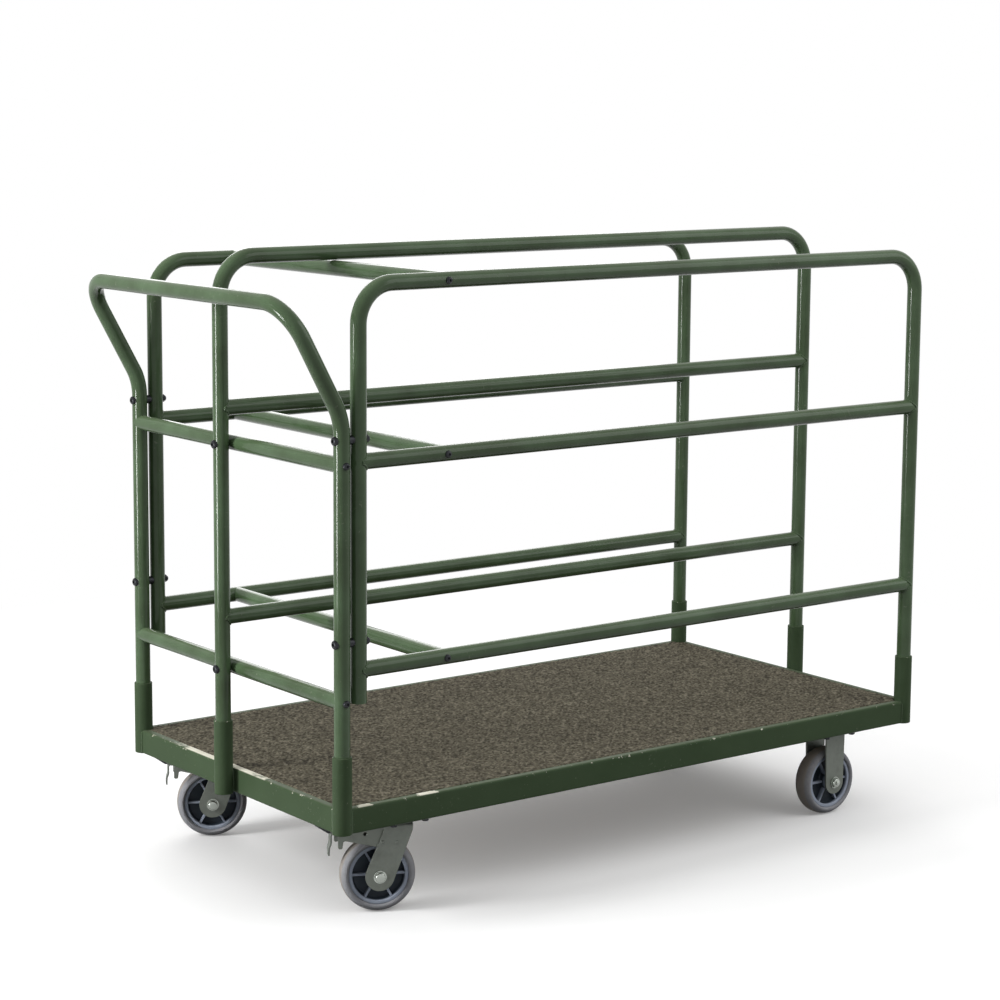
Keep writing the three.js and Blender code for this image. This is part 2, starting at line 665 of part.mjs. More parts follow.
// The pedal: a barrel between the bracket's walls, an arm, a toe pad that rises behind it and a hanging hook
const PEDAL_BARREL_RADIUS = 5;
const ARM_HALF_WIDTH = 17;
const TOE_HALF_WIDTH = 8; // at the tip of the pad, which tapers from its shoulder
const TOE_SHOULDER = 45;
const TOE_TIP = 66.5;
const PEDAL_PLATE = [
  [0, 4],
  [31, 4.5],
  [64, 23.5],
  [TOE_TIP, 19],
  [37, 2],
  [37, -19],
  [40.5, -28],
  [40.5, -45],
  [36.5, -45],
  [36.5, -27],
  [33, -18],
  [32.5, 0],
  [0, 0],
];

function brakePedalGeometry() {
  const plate = extrudeAlongY(shapeOf(PEDAL_PLATE), -ARM_HALF_WIDTH, ARM_HALF_WIDTH);
  const barrel = cylinderY(PEDAL_BARREL_RADIUS, 0, -PEDAL_HALF_WIDTH, PEDAL_HALF_WIDTH, 0);
  const taper = Math.atan2(ARM_HALF_WIDTH - TOE_HALF_WIDTH, TOE_TIP - TOE_SHOULDER);
  const corners = [1, -1].map((side) => {
    const [near, far] = [0, side * TOE_TIP].sort((a, b) => a - b);
    const corner = box(0, TOE_TIP, near, far, -TOE_TIP, TOE_TIP);
    return corner.rotateZ(-side * taper).translate(TOE_SHOULDER, side * ARM_HALF_WIDTH, 0);
  });
  return cut(join(plate, barrel), ...corners);
}

const SWIVEL_CASTERS = {
  front: { y: -CASTER_Y, heading: FRONT_HEADING },
  back: { y: CASTER_Y, heading: BACK_HEADING },
};
for (const [side, { y, heading }] of Object.entries(SWIVEL_CASTERS)) {
  const caster = `${side}_swivel`;
  const mount = new THREE.Group();
  mount.position.set(-CASTER_X, y, 0);
  cart.add(mount);
  addPiece(`caster_plate_${caster}`, plateGeometry(PLATE_TOP), ZINC, mount);
  addPiece(`swivel_race_${caster}`, swivelRaceGeometry(), ZINC, mount);
  const swivel = new THREE.Group();
  swivel.rotation.z = THREE.MathUtils.degToRad(heading);
  mount.add(swivel);
  addPiece(`fork_${caster}`, swivelForkGeometry(), ZINC, swivel);
  const pedal = addPiece(`brake_pedal_${side}`, brakePedalGeometry(), ZINC, swivel);
  pedal.position.set(PEDAL_PIVOT_X, 0, PEDAL_PIVOT_Z);
  const wheel = new THREE.Group();
  wheel.position.set(CASTER_TRAIL, 0, AXLE_HEIGHT);
  swivel.add(wheel);
  addWheel(caster, wheel);
}

export default cart;
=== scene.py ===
import json
import math
from contextlib import contextmanager

import bmesh
import bpy
from mathutils import Matrix, Vector


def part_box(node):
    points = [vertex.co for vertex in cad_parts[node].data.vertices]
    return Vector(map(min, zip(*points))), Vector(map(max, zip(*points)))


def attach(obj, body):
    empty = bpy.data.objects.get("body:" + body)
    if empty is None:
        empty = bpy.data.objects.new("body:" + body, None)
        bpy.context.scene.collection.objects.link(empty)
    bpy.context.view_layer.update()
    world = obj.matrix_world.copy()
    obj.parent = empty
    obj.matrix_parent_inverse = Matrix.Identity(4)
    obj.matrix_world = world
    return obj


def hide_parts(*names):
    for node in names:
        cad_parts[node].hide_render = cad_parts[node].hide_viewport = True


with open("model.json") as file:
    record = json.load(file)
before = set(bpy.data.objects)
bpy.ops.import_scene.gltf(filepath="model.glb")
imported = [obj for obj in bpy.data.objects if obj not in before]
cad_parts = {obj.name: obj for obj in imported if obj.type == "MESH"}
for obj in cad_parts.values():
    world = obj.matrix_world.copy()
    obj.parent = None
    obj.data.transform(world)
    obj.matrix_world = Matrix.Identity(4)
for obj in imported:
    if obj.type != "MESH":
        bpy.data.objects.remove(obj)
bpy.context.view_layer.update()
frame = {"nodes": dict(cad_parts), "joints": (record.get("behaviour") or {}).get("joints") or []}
scene = bpy.context.scene


# Camera: a long lens in front of the handle end, a little above the push bar.
# The shift is the photograph's own framing, with the cart slightly left of and below the middle.
CAMERA_PLACE = (-3.3976, -4.3623, 1.6239)
CAMERA_TURN = math.radians(36.338)
CAMERA_DIP = math.radians(8.306)
CAMERA_ROLL = math.radians(0.245)
FOCAL_LENGTH = 93  # millimetres
SENSOR_WIDTH = 36
LENS_SHIFT = (0.0511, -0.0408)
SIGHT = 200

lens = bpy.data.cameras.new("camera")
lens.sensor_width = SENSOR_WIDTH
lens.lens = FOCAL_LENGTH
lens.shift_x, lens.shift_y = LENS_SHIFT
lens.clip_end = SIGHT
camera = bpy.data.objects.new("camera", lens)
camera.matrix_world = (
    Matrix.Translation(CAMERA_PLACE)
    @ Matrix.Rotation(-CAMERA_TURN, 4, "Z")
    @ Matrix.Rotation(math.pi / 2 - CAMERA_DIP, 4, "X")
    @ Matrix.Rotation(CAMERA_ROLL, 4, "Z")
)
scene.collection.objects.link(camera)
scene.camera = camera
scene.view_settings.view_transform = "Standard"


# Studio: a white paper floor that runs out into a white background.
# A tall soft box lights the handle end, and a low strip light draws bright lines on the uprights.
# One high at the front right and one behind open up the long sides, and the ceiling lights the rest.
WHITE = "#ffffff"
BOUNCE = "#5c5c5c"  # the floor as the cart sees it
ROOM_LIGHT = (0.03, 1.05)  # from the walls, and from the ceiling
FLOOR_RADIUS = 40
FLOOR_SIDES = 64
SHADOW_LIFT = 0.15  # how far the floor's shadow is lightened by the white all round
SHADOW_REACH = (1.2, 2.8)  # metres from the cart over which the floor fades into the background
# where each lamp stands, the point it is turned to, its width and height, its power,
# and whether it lights matt surfaces and shows in glossy ones
LAMPS = {
    "tall_soft_box": ((-3.8, 0.78, 1.7), (-0.5, -0.2, 0.9), (1.0, 2.5), 138, True, False),
    "low_strip_light": ((-3.92, 0.35, 0.575), (-0.5, -0.2, 0.575), (0.7, 1.05), 92, False, True),
    "high_soft_box": ((1.8, -2.2, 2.4), (0.3, -0.4, 1.1), (2.6, 2.2), 36, True, True),
    "back_soft_box": ((1.6, 3.2, 2.0), (0.2, 0.4, 0.9), (2.6, 2.0), 42, True, True),
}


def linear(colour):
    """An sRGB hex colour as linear red, green, blue and full opacity."""
    parts = [int(colour[i : i + 2], 16) / 255 for i in (1, 3, 5)]
    return [c / 12.92 if c <= 0.04045 else ((c + 0.055) / 1.055) ** 2.4 for c in parts] + [1]


def add(tree, kind, sockets=None, **settings):
    """Adds one node to a tree, applies its settings, and sets or links its sockets.
    A node given as a value stands for its first output in use."""
    made = tree.nodes.new(kind)
    for key, value in settings.items():
        setattr(made, key, value)
    for key, value in (sockets or {}).items():
        if isinstance(value, bpy.types.Node):
            value = next(output for output in value.outputs if output.enabled)
        if isinstance(value, bpy.types.NodeSocket):
            tree.links.new(value, made.inputs[key])
        else:
            made.inputs[key].default_value = value
    return made


def seen_rays(tree):
    """1 for rays that the eye follows, straight, by reflection or through something clear, and 0 for others."""
    ray = add(tree, "ShaderNodeLightPath").outputs
    seen = add(tree, "ShaderNodeMath", {0: ray["Is Camera Ray"], 1: ray["Is Glossy Ray"]})
    return add(tree, "ShaderNodeMath", {0: seen, 1: ray["Is Transmission Ray"]}, use_clamp=True)


def blank_material(name):
    """A new material with an empty tree, the tree, and the coordinates that its patterns lie in."""
    material = bpy.data.materials.new(name)
    material.use_nodes = True
    tree = material.node_tree
    tree.nodes.clear()
    return material, tree, add(tree, "ShaderNodeTexCoord").outputs["Object"]


@contextmanager
def opened(mesh):
    """Opens a mesh for editing, and puts the result back."""
    shape = bmesh.new()
    shape.from_mesh(mesh)
    yield shape
    shape.to_mesh(mesh)
    shape.free()


for name, (place, aim, size, power, on_matt, in_gloss) in LAMPS.items():
    lamp_data = bpy.data.lights.new(name, "AREA")
    lamp_data.shape = "RECTANGLE"
    lamp_data.size, lamp_data.size_y = size
    lamp_data.energy = power
    lamp = bpy.data.objects.new(name, lamp_data)
    lamp.location = place
    lamp.rotation_euler = (Vector(place) - Vector(aim)).to_track_quat("Z", "Y").to_euler()
    lamp.visible_camera = False
    lamp.visible_diffuse = on_matt
    lamp.visible_glossy = in_gloss
    scene.collection.objects.link(lamp)

# The background is white to the eye and in reflections. It lights the cart like a room, mostly from above.
room = bpy.data.worlds.new("white_room")
scene.world = room
room.use_nodes = True
tree = room.node_tree
tree.nodes.clear()
way = add(tree, "ShaderNodeSeparateXYZ", {0: add(tree, "ShaderNodeTexCoord").outputs["Generated"]})
fill = add(tree, "ShaderNodeMapRange", {0: way.outputs["Z"], 3: ROOM_LIGHT[0], 4: ROOM_LIGHT[1]})
level = add(tree, "ShaderNodeMix", {0: seen_rays(tree), 2: fill, 3: 1.0})
glow = add(tree, "ShaderNodeBackground", {"Color": linear(WHITE), "Strength": level})
add(tree, "ShaderNodeOutputWorld", {"Surface": glow})

# White paper: matt, with the soft shadow lifted towards white, and greyer as a bounce on the cart.
# It is clear from below, so that the underside of the cart can be looked at.
paper, tree, place = blank_material("white_paper")
seen = seen_rays(tree)
tone = add(tree, "ShaderNodeMix", {0: seen, 6: linear(BOUNCE), 7: linear(WHITE)}, data_type="RGBA")
away = add(tree, "ShaderNodeVectorMath", {0: place}, operation="LENGTH")
near, far = SHADOW_REACH
fade = add(tree, "ShaderNodeMapRange", {0: away, 1: near, 2: far, 3: SHADOW_LIFT, 4: 1.0})
share = add(tree, "ShaderNodeMath", {0: fade, 1: seen}, operation="MULTIPLY")
matt = add(tree, "ShaderNodeBsdfDiffuse", {"Color": tone})
white = add(tree, "ShaderNodeEmission", {"Color": linear(WHITE)})
both = add(tree, "ShaderNodeMixShader", {0: share, 1: matt, 2: white})
below = add(tree, "ShaderNodeNewGeometry").outputs["Backfacing"]
sheet = add(tree, "ShaderNodeMixShader", {0: below, 1: both, 2: add(tree, "ShaderNodeBsdfTransparent")})
add(tree, "ShaderNodeOutputMaterial", {"Surface": sheet})

floor_mesh = bpy.data.meshes.new("floor")
with opened(floor_mesh) as disc:
    bmesh.ops.create_circle(disc, cap_ends=True, segments=FLOOR_SIDES, radius=FLOOR_RADIUS)
floor_mesh.materials.append(paper)
floor = bpy.data.objects.new("floor", floor_mesh)
scene.collection.objects.link(floor)


# Deck rails: four rails of folded steel channel, open towards the deck, that frame the board.
# They are cut to sit round the corner sockets, welded there, and sprayed green with the whole frame.
# Years of loading have worn the upper flange to the primer, most of all at the handle end.
MM = 0.001
RAIL_HEIGHT = 50.8 * MM
RAIL_FLANGE = 15.9 * MM
RAIL_GAUGE = 3.2 * MM
FOLD_RADIUS = 4.2 * MM
FOLD_STEPS = 5
LOW_FOLD_WEAR = 0.8  # against 1 for the other edges
WEAR_BAND = 2.5 * MM  # how far wear reaches in from an edge
SOCKET_RADIUS = 19.05 * MM
SEAT = 0.2 * MM  # how far a shaped end runs into the piece that it is welded to
SAME_POINT = 1e-6
CREASE = 35
# the point and the radius of each bare place
WORN_PLACES = [((-0.724, 0.05, 0.248), 0.21)]
WORN_PLACES += [((-0.671, -0.394, 0.25), 0.024), ((-0.522, -0.394, 0.25), 0.032)]
WORN_GRAIN = 24 * MM  # the largest ragged patches round a bare place


def surface(tree, sockets, height=None, strength=0.0, depth=0.2 * MM):
    """Ends a material's tree with one shader, and with relief where a height pattern is given."""
    if height:
        relief = add(tree, "ShaderNodeBump", {"Strength": strength, "Distance": depth, "Height": height})
        sockets = {**sockets, "Normal": relief}
    add(tree, "ShaderNodeOutputMaterial", {"Surface": add(tree, "ShaderNodeBsdfPrincipled", sockets)})


def tinted(tree, colour, tint, pattern, band, most=1.0):
    """Mixes a tint into a colour as a pattern rises through a band of values, up to a share."""
    share = add(tree, "ShaderNodeMapRange", {0: pattern, 1: band[0], 2: band[1], 3: 0.0, 4: most})
    return add(tree, "ShaderNodeMix", {0: share, 6: colour, 7: linear(tint)}, data_type="RGBA")


def enamel(name, thin, thick, roughness, specular, worn_places=()):
    """Sprayed alkyd enamel over a pale primer: dimpled, scuffed, dusty on top and chipped at the edges.
    A worn place is a point and a radius: faces that look up are rubbed down to the primer round it."""
    material, tree, place = blank_material(name)
    facing = add(tree, "ShaderNodeTexCoord").outputs["Normal"]
    up = add(tree, "ShaderNodeSeparateXYZ", {0: facing}).outputs["Z"]

    # thicker and thinner passes of the spray gun, in clouds about 90 mm across
    cloud = add(tree, "ShaderNodeTexNoise", {"Vector": place, "Scale": 1 / 0.09, "Detail": 5})
    colour = tinted(tree, linear(thin), thick, cloud, (0.25, 0.75))
    # dust settles where a face looks up
    colour = tinted(tree, colour, "#80826f", up, (0.55, 1.0), 0.15)
    # scuffs of about 7 mm, in loose groups
    scuff = add(tree, "ShaderNodeTexNoise", {"Vector": place, "Scale": 1 / 0.007, "Detail": 4, "Roughness": 0.6})
    group = add(tree, "ShaderNodeTexNoise", {"Vector": place, "Scale": 1 / 0.16, "Detail": 1})
    bias = add(tree, "ShaderNodeMapRange", {0: group, 1: 0.35, 2: 0.75, 3: 0.0, 4: 0.10})
    scuffed = add(tree, "ShaderNodeMath", {0: scuff, 1: bias})
    colour = tinted(tree, colour, "#7c8471", scuffed, (0.70, 0.78), 0.45)
    # chips along the edges that the mesh marks
    edge = add(tree, "ShaderNodeAttribute", attribute_name="edge_wear").outputs["Fac"]
    chip = add(tree, "ShaderNodeTexNoise", {"Vector": place, "Scale": 1 / 0.011, "Detail": 5, "Roughness": 0.65})
    chipped = add(tree, "ShaderNodeMath", {0: edge, 1: chip}, operation="MULTIPLY")
    bare = add(tree, "ShaderNodeMapRange", {0: chipped, 1: 0.62, 2: 0.68})
    for point, radius in worn_places:
        away = add(tree, "ShaderNodeVectorMath", {0: place, 1: point}, operation="DISTANCE")
        near = add(tree, "ShaderNodeMapRange", {0: away, 1: radius, 2: 0.0})
        grain = 1 / min(WORN_GRAIN, radius / 3)
        ragged = add(tree, "ShaderNodeTexNoise", {"Vector": place, "Scale": grain, "Detail": 6, "Roughness": 0.7})
        rubbed = add(tree, "ShaderNodeMath", {0: near, 1: ragged})
        rubbed = add(tree, "ShaderNodeMapRange", {0: rubbed, 1: 0.66, 2: 0.84})
        on_top = add(tree, "ShaderNodeMapRange", {0: up, 1: 0.6, 2: 0.9})
        rubbed = add(tree, "ShaderNodeMath", {0: rubbed, 1: on_top}, operation="MULTIPLY")
        bare = add(tree, "ShaderNodeMath", {0: bare, 1: rubbed}, operation="MAXIMUM")
    stain = add(tree, "ShaderNodeTexNoise", {"Vector": place, "Scale": 1 / 0.03, "Detail": 3})
    primer = add(tree, "ShaderNodeMix", {0: stain, 6: linear("#c4c0aa"), 7: linear("#e8e6da")}, data_type="RGBA")
    colour = add(tree, "ShaderNodeMix", {0: bare, 6: colour, 7: primer}, data_type="RGBA")

    gloss = add(tree, "ShaderNodeMapRange", {0: cloud, 1: 0.3, 2: 0.7, 3: roughness[0], 4: roughness[1]})
    gloss = add(tree, "ShaderNodeMix", {0: bare, 2: gloss, 3: 0.7})
    # orange peel: real dimples are about 1 mm, drawn at 2.5 mm so that they show
    peel = add(tree, "ShaderNodeTexNoise", {"Vector": place, "Scale": 1 / 0.0025, "Detail": 1})
    height = add(tree, "ShaderNodeMath", {0: peel, 1: bare}, operation="SUBTRACT")
    surface(tree, {"Base Color": colour, "Roughness": gloss, "Specular IOR Level": specular}, height, 0.1)
    return material


frame_enamel = enamel("sprayed_green_enamel", "#3f5035", "#546a4d", (0.12, 0.17), 0.2)
# the sockets and deck rails take a darker green than the frame: painted shade for the dimmer light low down near
# the floor, with a duller gloss
socket_enamel = enamel("dull_green_enamel", "#3a4a33", "#44543d", (0.5, 0.62), 0.08)
deck_enamel = enamel("worn_green_enamel", "#3a4a33", "#44543d", (0.5, 0.62), 0.08, WORN_PLACES)


def middle(node):
    """The middle of a CAD node's box."""
    low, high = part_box(node)
    return (Vector(low) + Vector(high)) / 2


def arc(centre, radius, start, stop, steps):
    """Points along an arc in a plane, with its angles in degrees."""
    angles = [math.radians(start + (stop - start) * k / steps) for k in range(steps + 1)]
    return [(centre[0] + radius * math.cos(a), centre[1] + radius * math.sin(a)) for a in angles]


def smoothed(mesh, crease=CREASE):
    """Shades a mesh smooth, up to the crease angle in degrees."""
    mesh.shade_smooth()
    mesh.set_sharp_from_angle(angle=math.radians(crease))
    return mesh


def shell(name, points, faces, crease=CREASE, wear_and_light_marks=None):
    """A mesh with doubled points merged and faces outwards, smooth up to a crease angle, and flagged at points of
    paint wear, tread dust and a wheel core's edges outside its painted shade.
    """
    mesh = bpy.data.meshes.new(name)
    mesh.from_pydata(points, [], faces)
    if wear_and_light_marks:
        mesh.attributes.new("edge_wear", "FLOAT", "POINT").data.foreach_set("value", wear_and_light_marks)
    with opened(mesh) as shape:
        bmesh.ops.remove_doubles(shape, verts=shape.verts, dist=SAME_POINT)
        bmesh.ops.recalc_face_normals(shape, faces=shape.faces)
    return smoothed(mesh, crease)


def sleeve(count):
    """Faces between two rings of points that follow each other in a list."""
    return [(i, (i + 1) % count, count + (i + 1) % count, count + i) for i in range(count)]


def caps(count):
    """Faces that close both of those rings."""
    return [tuple(range(count)), tuple(range(count, 2 * count))]


def fit(name, mesh, material, body, slot, *nodes, place=None):
    """Puts a finished mesh in the scene as a piece of a body, in the place of CAD nodes."""
    if place is not None:
        mesh.transform(place)
    obj = bpy.data.objects.new(name, mesh)
    scene.collection.objects.link(obj)
    mesh.materials.clear()
    mesh.materials.append(material)
    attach(obj, body)
    if nodes:
        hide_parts(*nodes)
    return obj


def channel_section():
    """The folded channel as (inward, up, wear) round its outline: face, flanges and the inside of the folds."""
    inner = FOLD_RADIUS - RAIL_GAUGE
    band = FOLD_RADIUS + WEAR_BAND
    top = RAIL_HEIGHT
    tip = RAIL_FLANGE
    low_fold = (FOLD_RADIUS, FOLD_RADIUS)
    high_fold = (FOLD_RADIUS, top - FOLD_RADIUS)
    section = [(tip, 0, 0), (band, 0, 0)]
    section += [(u, v, LOW_FOLD_WEAR) for u, v in arc(low_fold, FOLD_RADIUS, 270, 180, FOLD_STEPS)]
    section += [(0, band, 0), (0, top - band, 0)]
    section += [(u, v, 1) for u, v in arc(high_fold, FOLD_RADIUS, 180, 90, FOLD_STEPS)]
    section += [(band, top, 0), (tip - WEAR_BAND, top, 0), (tip, top, 1), (tip, top - RAIL_GAUGE, 1)]
    section += [(u, v, 0) for u, v in arc(high_fold, inner, 90, 180, FOLD_STEPS)]
    section += [(u, v, 0) for u, v in arc(low_fold, inner, 180, 270, FOLD_STEPS)]
    return section + [(tip, RAIL_GAUGE, 1)]


def deck_rail(node, inward, first_socket, last_socket):
    """One channel between two corner sockets, its ends shaped to sit round them."""
    section = channel_section()
    low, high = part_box(node)
    ends = [middle(first_socket), middle(last_socket)]
    along = (ends[1] - ends[0]).normalized()
    inward = Vector(inward)
    face = min(Vector(low).dot(inward), Vector(high).dot(inward))
    points = []
    for end, sign in zip(ends, (1, -1)):
        for u, v, _ in section:
            beside = face + u - end.dot(inward)
            clear = math.sqrt((SOCKET_RADIUS - SEAT) ** 2 - beside**2)
            point = end + inward * beside + along * sign * clear
            points.append((point.x, point.y, low[2] + v))
    count = len(section)
    return shell(node, points, sleeve(count) + caps(count), wear_and_light_marks=[w for _, _, w in section] * 2)


DECK_RAILS = {
    "handle_end": ((1, 0, 0), "front_handle", "back_handle"),
    "open_end": ((-1, 0, 0), "front_open", "back_open"),
    "front": ((0, 1, 0), "front_handle", "front_open"),
    "back": ((0, -1, 0), "back_handle", "back_open"),
}
for place_name, (inward, first, last) in DECK_RAILS.items():
    node = f"deck_rail_{place_name}"
    mesh = deck_rail(node, inward, f"post_socket_{first}", f"post_socket_{last}")
    fit(f"{node}_channel", mesh, deck_enamel, "cart", "green_enamel", node)


# Post sockets: short lengths of larger tube that the frames' legs drop into.
# Four stand in the corners and one outside the middle of each end rail, all welded to the rails.
SOCKET_BORE = 16.3 * MM
SOCKET_LIP = 1.3 * MM
SOCKET_EASE = 0.6 * MM  # its lower edge
BORE_EASE = 0.4 * MM
LIP_STEPS = 4
ROUND_SIDES = 48


def turned(name, profile, sides=ROUND_SIDES, crease=CREASE, wear_and_light_marks=()):
    """A turned shape about Z. The profile gives (radius, height), and a third entry where a ring is a hexagon
    of that inner radius. It closes on itself, or starts and ends on the axis. The marks list flagged profile
    points: edges that wear, a tyre's dusty tread, and a wheel core's edges kept out of its painted shade."""
    points = []
    for radius, height, *hexed in profile:
        for k in range(sides):
            angle = 2 * math.pi * k / sides
            reach = radius
            if hexed:
                reach = radius / math.cos((angle % (math.pi / 3)) - math.pi / 6)
            points.append((reach * math.cos(angle), reach * math.sin(angle), height))
    count = len(profile)
    closed = profile[0][0] > 0
    faces = []
    for i in range(count if closed else count - 1):
        j = (i + 1) % count
        for k in range(sides):
            n = (k + 1) % sides
            faces.append((i * sides + k, i * sides + n, j * sides + n, j * sides + k))
    marks = [1.0 if i in wear_and_light_marks else 0.0 for i in range(count) for _ in range(sides)]
    return shell(name, points, faces, crease, marks if wear_and_light_marks else None)


socket_low, socket_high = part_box("post_socket_front_handle")
socket_length = socket_high[2] - socket_low[2]
lip = arc((SOCKET_RADIUS - SOCKET_LIP, socket_length - SOCKET_LIP), SOCKET_LIP, 0, 90, LIP_STEPS)
socket_profile = [(SOCKET_BORE, 0), (SOCKET_RADIUS - SOCKET_EASE, 0), (SOCKET_RADIUS, SOCKET_EASE)]
socket_profile += [(SOCKET_RADIUS, socket_length - 3 * SOCKET_LIP)]
worn_lip = range(len(socket_profile), len(socket_profile) + len(lip))
socket_profile += [*lip, (SOCKET_BORE + BORE_EASE, socket_length), (SOCKET_BORE, socket_length - BORE_EASE)]
for place_name in ("front_handle", "back_handle", "middle_handle", "front_open", "back_open", "middle_open"):
    node = f"post_socket_{place_name}"
    mesh = turned(node, socket_profile, wear_and_light_marks=worn_lip)
    foot = Matrix.Translation((*middle(node).to_2d(), socket_low[2]))
    fit(f"{node}_tube", mesh, socket_enamel, "cart", "green_enamel", node, place=foot)


# Joists: three square tubes on the rails' lower flanges, which carry the board.
# They are sprayed with the frame. Their edges are rolled, so the CAD shape gets a small round.
JOIST_ROUND = 2 * MM
SHARP_EDGE = 40
FLAT = 1  # degrees between faces that are one face


def through(name, mesh, *modifiers):
    """Runs a mesh through modifiers and gives the plain result.
    Each is a kind with its settings, or a geometry tree with its inputs by name."""
    holder = bpy.data.objects.new(name, mesh)
    scene.collection.objects.link(holder)
    for kind, settings in modifiers:
        if isinstance(kind, str):
            modifier = holder.modifiers.new(kind, kind)
            for key, value in settings.items():
                setattr(modifier, key, value)
        else:
            modifier = holder.modifiers.new(kind.name, "NODES")
            modifier.node_group = kind
            for item in kind.interface.items_tree:
                if item.in_out == "INPUT" and item.name in settings:
                    modifier[item.identifier] = settings[item.name]
    graph = bpy.context.evaluated_depsgraph_get()
    result = bpy.data.meshes.new_from_object(holder.evaluated_get(graph))
    bpy.data.objects.remove(holder)
    return result


def rounding(width):
    """A bevel on the sharp edges only."""
    limit = {"limit_method": "ANGLE", "angle_limit": math.radians(SHARP_EDGE)}
    return ("BEVEL", {"width": width, "segments": 2, "harden_normals": True, **limit})


def softened(node, width):
    """A copy of a CAD node with its flat faces whole and its edges rounded."""
    mesh = bpy.data.meshes.new(node)
    with opened(mesh) as shape:
        shape.from_mesh(frame["nodes"][node].data)
        bmesh.ops.remove_doubles(shape, verts=shape.verts, dist=SAME_POINT)
        bmesh.ops.dissolve_limit(shape, angle_limit=math.radians(FLAT), verts=shape.verts, edges=shape.edges)
    return through(node, smoothed(mesh), rounding(width))


def fit_green(node, mesh, ending="tube"):
    """Puts a piece of the green frame in the place of its CAD node."""
    fit(f"{node}_{ending}", mesh, frame_enamel, "cart", "green_enamel", node)


for place_name in ("handle", "middle", "open"):
    node = f"deck_joist_{place_name}"
    fit_green(node, softened(node, JOIST_ROUND))


# Deck board: a sheet of plywood that drops between the rails' upper flanges onto the joists.
# Only its underside shows, under the cart. The grain runs the long way.
BOARD_EASE = 0.8 * MM
GRAIN = (2, 160, 160)  # streaks to a metre: about 6 mm wide and half a metre long

plywood, tree, place = blank_material("birch_plywood")
# growth rings cut flat
stretch = add(tree, "ShaderNodeMapping", {"Vector": place, "Scale": GRAIN})
streak = add(tree, "ShaderNodeTexNoise", {"Vector": stretch, "Scale": 1, "Detail": 5, "Distortion": 0.6})
veneer = add(tree, "ShaderNodeMix", {0: streak, 6: linear("#8f6f45"), 7: linear("#c7a572")}, data_type="RGBA")
surface(tree, {"Base Color": veneer, "Roughness": 0.72}, streak, 0.3, 0.3 * MM)
fit("deck_board_sheet", softened("deck_board", BOARD_EASE), plywood, "cart", "plywood", "deck_board")


# Carpet: a brown-grey loop pile, glued to the board and flush with the rails.
# The yarn is flecked dark and light, so every loop takes its own shade, and the pile stands unevenly.
LOOP_SPACING = 4.6 * MM
PILE_HEIGHT = 2.0 * MM
PILE_SPREAD = 1.5 * MM
PILE_SEED = 7
SOCKET_CLEARANCE = 1.2 * MM
CUT_SHARE = 0.7  # of a loop: points farther than this inside a cut are lost, and the others move to its edge

carpet_yarn, tree, place = blank_material("flecked_loop_pile")
yarn = add(tree, "ShaderNodeAttribute", attribute_name="yarn").outputs["Fac"]
colour = tinted(tree, linear("#3b372e"), "#615c4e", yarn, (0.15, 0.5))
colour = tinted(tree, colour, "#857f6e", yarn, (0.62, 0.95))
# strands of about 1.5 mm across each loop
strand = add(tree, "ShaderNodeTexNoise", {"Vector": place, "Scale": 1 / 0.0016, "Detail": 2})
colour = tinted(tree, colour, "#2e2a24", strand, (0.35, 0.65), 0.45)
surface(tree, {"Base Color": colour, "Roughness": 0.95, "Specular IOR Level": 0.1}, strand, 0.8, 1 * MM)


def recipe(name, inputs):
    """A new geometry tree that takes a mesh, its own named inputs and a material, and what it is given."""
    tree = bpy.data.node_groups.new(name, "GeometryNodeTree")
    for label, kind in {"Geometry": "Geometry", **inputs, "Material": "Material"}.items():
        tree.interface.new_socket(label, in_out="INPUT", socket_type=f"NodeSocket{kind}")
    tree.interface.new_socket("Geometry", in_out="OUTPUT", socket_type="NodeSocketGeometry")
    return tree, add(tree, "NodeGroupInput").outputs


def served(tree, given, made):
    """Ends a geometry tree: what was made becomes real, and takes the material."""
    real = add(tree, "GeometryNodeRealizeInstances", {"Geometry": made})
    dressed = add(tree, "GeometryNodeSetMaterial", {"Geometry": real, "Material": given["Material"]})
    add(tree, "NodeGroupOutput", {"Geometry": dressed})


pile, given = recipe("loop pile", {"Pile Height": "Float", "Pile Spread": "Float", "Seed": "Int"})
spread = given["Pile Spread"]
back = add(pile, "ShaderNodeMath", {0: spread, 1: -1.0}, operation="MULTIPLY")
least = add(pile, "ShaderNodeCombineXYZ", {0: back, 1: back})
most = add(pile, "ShaderNodeCombineXYZ", {0: spread, 1: spread, 2: given["Pile Height"]})
lean = add(pile, "FunctionNodeRandomValue", {0: least, 1: most, 8: given["Seed"]}, data_type="FLOAT_VECTOR")
stood = add(pile, "GeometryNodeSetPosition", {"Geometry": given["Geometry"], "Offset": lean})
next_seed = add(pile, "ShaderNodeMath", {0: given["Seed"], 1: 1.0})
fleck = add(pile, "FunctionNodeRandomValue", {8: next_seed}, data_type="FLOAT")
dyed = {"Geometry": stood, "Name": "yarn", "Value": fleck}
dyed = add(pile, "GeometryNodeStoreNamedAttribute", dyed, data_type="FLOAT", domain="POINT")
served(pile, given, add(pile, "GeometryNodeSetShadeSmooth", {"Geometry": dyed}))


